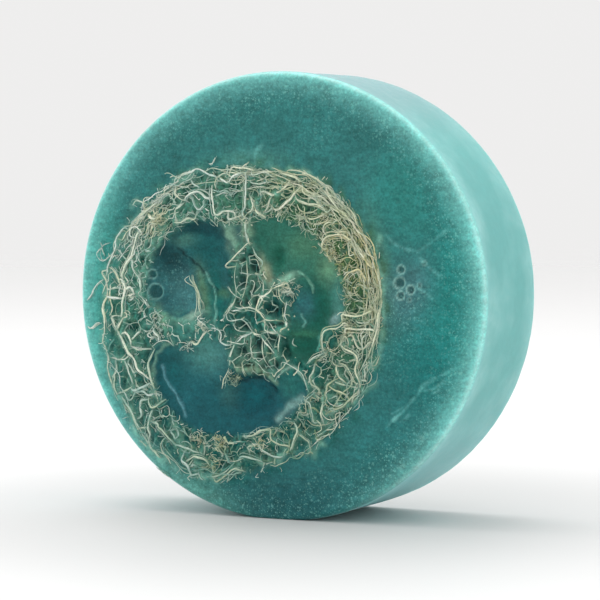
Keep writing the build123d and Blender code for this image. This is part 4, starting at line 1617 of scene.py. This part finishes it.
def paper_material():
    """The pale studio floor, greyer round the object as painted shade, and lost in the backdrop far off.
    """
    material, tree, shader = new_material("studio_paper")
    where = node(tree, "ShaderNodeTexCoord").outputs["Object"]
    away = node(tree, "ShaderNodeVectorMath", {0: where}, operation="LENGTH").outputs["Value"]
    # Painted shade on the floor round the object
    pale = ranged(tree, away, 0.045, 0.110, smoothed=True)
    paper = mixed(tree, pale, PAPER_SHADED, PAPER_FAR)
    paper = mixed(tree, blotches(tree, where, 30, 0.3, 0.7, 0.0, 0.03), paper, PAPER_SHADED)
    tree.links.new(paper, shader.inputs["Base Color"])
    set_inputs(shader, Roughness=0.6)
    clear = node(tree, "ShaderNodeBsdfTransparent")
    blend = node(tree, "ShaderNodeMixShader", {
        0: ranged(tree, away, 0.30, 1.60, smoothed=True),
        1: shader.outputs[0],
        2: clear.outputs[0],
    })
    output = next(n for n in tree.nodes if n.type == "OUTPUT_MATERIAL")
    tree.links.new(blend.outputs[0], output.inputs["Surface"])
    return material


# ---------------------------------------------------------------- build the pieces

def near_angle(heading, width):
    """A crowding function: 1 round a heading in degrees, falling to 0 beyond a width from it."""
    spread = math.radians(width)
    return lambda angle: math.exp(-((turned(angle, heading) / spread) ** 2))


right_side = near_angle(20, 50)
left_side = near_angle(178, 50)
top_side = near_angle(75, 30)
lined_side = near_angle(60, 55)
tufted_side = near_angle(138, 24)


def lush(angle):
    """How crowded the fibre is round the hoop: dense at the right and top, open elsewhere."""
    return 0.35 + 0.65 * max(right_side(angle), 0.8 * top_side(angle))


def fringe(angle):
    """How thick the lining is round the hoop."""
    return 0.25 + 0.75 * lined_side(angle) - 0.1 * left_side(angle)


mat = Strands("outer_mat_fibres", 101)
web = Strands("middle_web_fibres", 102)
lining = Strands("inner_lining_fibres", 103)
top = Strands("top_septum_fibres", 104)
left = Strands("left_septum_fibres", 105)
right = Strands("right_septum_fibres", 106)
core = Strands("core_fibres", 107)
wisps = Strands("loose_wisps", 108)


# Shares of the way across the hoop wall where its middle web starts and ends
WEB_START = 0.26
WEB_END = 0.74

# Hoop strands that start left of this are on its open side
OPEN_SIDE = -6.0

# What lies outside the core is top septum above this, and left septum left of this
TOP_SEPTUM = 4.0
LEFT_SEPTUM = -8.0

# How wide a strand is made, as a share of its listed width
OPEN_SIDE_WIDTH = 0.74
HOOP_WIDTH = 0.62
MIDDLE_WIDTH = 0.44
WISP_WIDTH = 0.55


def hoop_piece(places):
    """The layer of the hoop wall that a strand's middle lies in."""
    share = wall_share(*places[len(places) // 2])
    if share > WEB_END:
        return mat
    return web if share > WEB_START else lining


def middle_piece(places):
    """The partition that a strand's middle lies in."""
    x, z = places[len(places) // 2]
    if math.hypot(x - CORE_CENTRE[0], z - CORE_CENTRE[1]) < CORE_RADIUS:
        return core
    if z > TOP_SEPTUM:
        return top
    return left if x < LEFT_SEPTUM else right


def add_main_strands():
    """The strands from the lists, drier and thicker on the open side of the hoop, at the left."""
    for width, soak, places in HOOP_NET:
        start_x, start_z = places[0]
        piece = hoop_piece(places)
        sunken = 0.32 * float(smooth(start_z, -6.0, -16.0))
        if start_x < OPEN_SIDE:
            main_strand(piece, width, 0.7 * soak + sunken, places, OPEN_SIDE_WIDTH, lift=0.1)
        else:
            main_strand(piece, width, soak + sunken, places, HOOP_WIDTH)
    for width, soak, places in MIDDLE_NET:
        piece = middle_piece(places)
        beside = 0 if width < 0.4 else 1
        main_strand(piece, width, soak, places, MIDDLE_WIDTH, lift=0.1, beside=beside)
    for width, soak, places in LOOSE_WISPS:
        main_strand(wisps, width, soak, places, WISP_WIDTH, lift=0.2)


def in_web(x, z):
    return -0.25 < wall_share(x, z) < 1.25


def on_web(x, z):
    return 0.05 < wall_share(x, z) < 0.98


def on_lush_web(x, z):
    angle, share = wall_place(x, z)
    return 0.05 < share < 0.98 and web.draw.uniform() < lush(angle)


def wide_spacing(x, z):
    return 3.0 - 1.3 * lush(wall_place(x, z)[0])


def in_partition(x, z):
    return in_middle(x, z) > -0.3 and in_chamber(x, z) < -0.3


def near_partition(x, z):
    return in_middle(x, z) > -2.5 and in_chamber(x, z) < 2.0


def add_mat_fibres():
    """Long fibres round the outside of the hoop, and short ends that stand out of it."""
    tangential(
        mat, 60, lush, wander=0.035,
        share=(0.84, 0.98), length=(3, 9), depth=(-0.4, 0), radius=(0.04, 0.09), soak=(0.2, 0.8),
    )
    tangential(
        mat, 110, right_side, wander=0.04,
        share=(0.55, 0.97), length=(4, 12), depth=(-0.5, 0), radius=(0.05, 0.11), soak=(0.1, 0.6),
    )
    tangential(
        mat, 60, tufted_side, wander=0.05,
        share=(0.3, 1.04), length=(2, 7), depth=(-0.5, 0), radius=(0.05, 0.10), soak=(0, 0.4),
    )
    stubs(
        mat, 260, near_angle(165, 60),
        share=(0.93, 1.06), length=(0.5, 1.8), depth=(-0.2, 0.1), radius=(0.03, 0.06), soak=(0, 0.6),
    )
    stubs(
        mat, 160, near_angle(-60, 60),
        share=(0.93, 1.05), length=(0.5, 1.6), depth=(-0.2, 0.1), radius=(0.03, 0.06), soak=(0.2, 0.9),
    )


def add_web_fibres():
    """The open net in the wall, a finer one where it is lush, and curls and stubs in them."""
    stubs(
        web, 220, tufted_side,
        share=(0.2, 1.0), length=(0.8, 2.8), depth=(-0.5, 0), radius=(0.04, 0.08), soak=(0, 0.5),
    )
    places = scattered(web.draw, in_web, wide_spacing, -38, 26)
    net_layer(
        web, places, on_web, kept_share=0.6, sway=0.14,
        depth=(-0.3, 0.05), radius=(0.06, 0.12), soak=(0.4, 0.95),
    )
    places = scattered(web.draw, in_web, lambda x, z: 1.4, -38, 26)
    net_layer(
        web, places, on_lush_web, kept_share=0.7, sway=0.16,
        depth=(-0.2, 0.05), radius=(0.04, 0.08), soak=(0.4, 1.0),
    )
    curls(
        web, 70, right_side,
        share=(0.2, 0.85), size=(0.8, 2.4), depth=(-0.6, 0.0), radius=(0.05, 0.10), soak=(0.1, 0.6),
    )
    curls(
        web, 60, lush,
        share=(0.1, 0.9), size=(0.8, 2.6), depth=(-0.3, 0.0), radius=(0.04, 0.08), soak=(0.35, 0.95),
    )
    stubs(
        web, 500, lush,
        share=(0.2, 0.95), length=(0.8, 2.8), depth=(-0.3, 0.1), radius=(0.03, 0.06), soak=(0.35, 1.0),
    )


def add_lining_fibres():
    """The dense fringe of stubs round the seed chambers, and a few strands that run along it."""
    stubs(
        lining, 1200, fringe,
        share=(-0.02, 0.24), length=(0.4, 1.5), depth=(-0.4, 0), radius=(0.03, 0.08), soak=(0.1, 0.8),
    )
    tangential(
        lining, 70, fringe, wander=0.05,
        share=(-0.02, 0.2), length=(2, 7), depth=(-0.3, 0.1), radius=(0.03, 0.08), soak=(0.2, 0.8),
    )


def add_tangles():
    """The tangles, at the chambers' edges and in the middle."""
    for centre, reach, count in TANGLES:
        owner = lining if wall_share(*centre) > 0 else core
        tangle(owner, centre, reach, count)


def add_core_net():
    """The fine net of the septa and the core."""
    places = scattered(core.draw, near_partition, lambda x, z: 1.5, -28, 14, tries=4000)
    net_layer(
        core, places, in_partition, kept_share=0.95, sway=0.1,
        depth=(-0.25, 0.0), radius=(0.045, 0.085), soak=(0.1, 0.75),
    )


casting = build_casting()
casting.data.materials.append(soap_material())
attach(casting, "root")
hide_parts("soap_ring", "soap_fill_upper_left", "soap_fill_upper_right", "soap_fill_lower")

add_main_strands()
add_mat_fibres()
add_web_fibres()
add_lining_fibres()
add_tangles()
add_core_net()

fibre = loofah_material()
mat.piece(fibre, "loofah_outer_mat")
web.piece(fibre, "loofah_middle_web")
lining.piece(fibre, "loofah_inner_lining")
top.piece(fibre, "loofah_top_septum")
left.piece(fibre, "loofah_left_septum")
right.piece(fibre, "loofah_right_septum")
core.piece(fibre, "loofah_core")
wisps.piece(fibre)


# ---------------------------------------------------------------- studio

# Light in metres and watts, and as strengths of the surround
FLOOR_REACH = 3.0
BACK_LIGHT = 0.86
FRONT_LIGHT = 0.92
OVERHEAD_LIGHT = 0.30
SOFTBOX_PLACE = Vector((-0.15, 0.1, 0.7))
SOFTBOX_SIZE = 0.5
SOFTBOX_POWER = 2.0

# The view, from a camera fitted to both rims of the puck, in millimetres and degrees
CAMERA_LENS = 162.0
CAMERA_SENSOR = 36.0
CAMERA_AZIMUTH = 25.41
CAMERA_ELEVATION = 2.876
CAMERA_DISTANCE = 455.2
CAMERA_RIGHT = 4.085
CAMERA_UP = -0.514


def add_floor():
    """A wide pale floor."""
    reach = FLOOR_REACH
    corners = [(-reach, -reach, 0), (reach, -reach, 0), (reach, reach, 0), (-reach, reach, 0)]
    mesh = bpy.data.meshes.new("studio_floor")
    mesh.from_pydata(corners, [], [(0, 1, 2, 3)])
    mesh.materials.append(paper_material())
    floor = add_piece(mesh)


def add_surround():
    """A soft pale surround, a little brighter in front and overhead."""
    world = bpy.data.worlds.new("studio")
    world.use_nodes = True
    tree = world.node_tree
    shade = next(n for n in tree.nodes if n.type == "BACKGROUND")
    heading = node(tree, "ShaderNodeTexCoord").outputs["Generated"]
    split = node(tree, "ShaderNodeSeparateXYZ", {0: heading})
    level = ranged(tree, split.outputs["Y"], -0.7, 0.3, FRONT_LIGHT, BACK_LIGHT)
    overhead = ranged(tree, split.outputs["Z"], 0.3, 0.9, 0.0, OVERHEAD_LIGHT)
    shade.inputs["Color"].default_value = (1.0, 0.995, 0.99, 1.0)
    tree.links.new(sums(tree, "ADD", level, overhead), shade.inputs["Strength"])
    bpy.context.scene.world = world


def add_softbox():
    """A round softbox above the object, turned towards its middle."""
    lamp = bpy.data.lights.new("top_softbox", "AREA")
    lamp.shape = "DISK"
    lamp.size = SOFTBOX_SIZE
    lamp.energy = SOFTBOX_POWER
    holder = bpy.data.objects.new("top_softbox", lamp)
    holder.location = SOFTBOX_PLACE
    aim = Vector((0, 0, AXIS_Z * MM)) - SOFTBOX_PLACE
    holder.rotation_euler = aim.to_track_quat("-Z", "Y").to_euler()
    bpy.context.scene.collection.objects.link(holder)


def add_camera():
    """The camera, which looks at a place beside the middle of the poured face."""
    azimuth, elevation = math.radians(CAMERA_AZIMUTH), math.radians(CAMERA_ELEVATION)
    back = Vector((
        math.sin(azimuth) * math.cos(elevation),
        -math.cos(azimuth) * math.cos(elevation),
        math.sin(elevation),
    ))
    right_hand = Vector((math.cos(azimuth), math.sin(azimuth), 0))
    up = back.cross(right_hand)
    target = Vector((0, POURED_Y, AXIS_Z)) + right_hand * CAMERA_RIGHT + up * CAMERA_UP
    data = bpy.data.cameras.new("camera")
    data.lens = CAMERA_LENS
    data.sensor_width = CAMERA_SENSOR
    data.clip_start = 0.01
    camera = bpy.data.objects.new("camera", data)
    camera.location = (target + back * CAMERA_DISTANCE) * MM
    camera.rotation_euler = (-back).to_track_quat("-Z", "Y").to_euler()
    bpy.context.scene.collection.objects.link(camera)
    bpy.context.scene.camera = camera


add_floor()
add_surround()
add_softbox()
add_camera()
bpy.context.scene.view_settings.view_transform = "Standard"
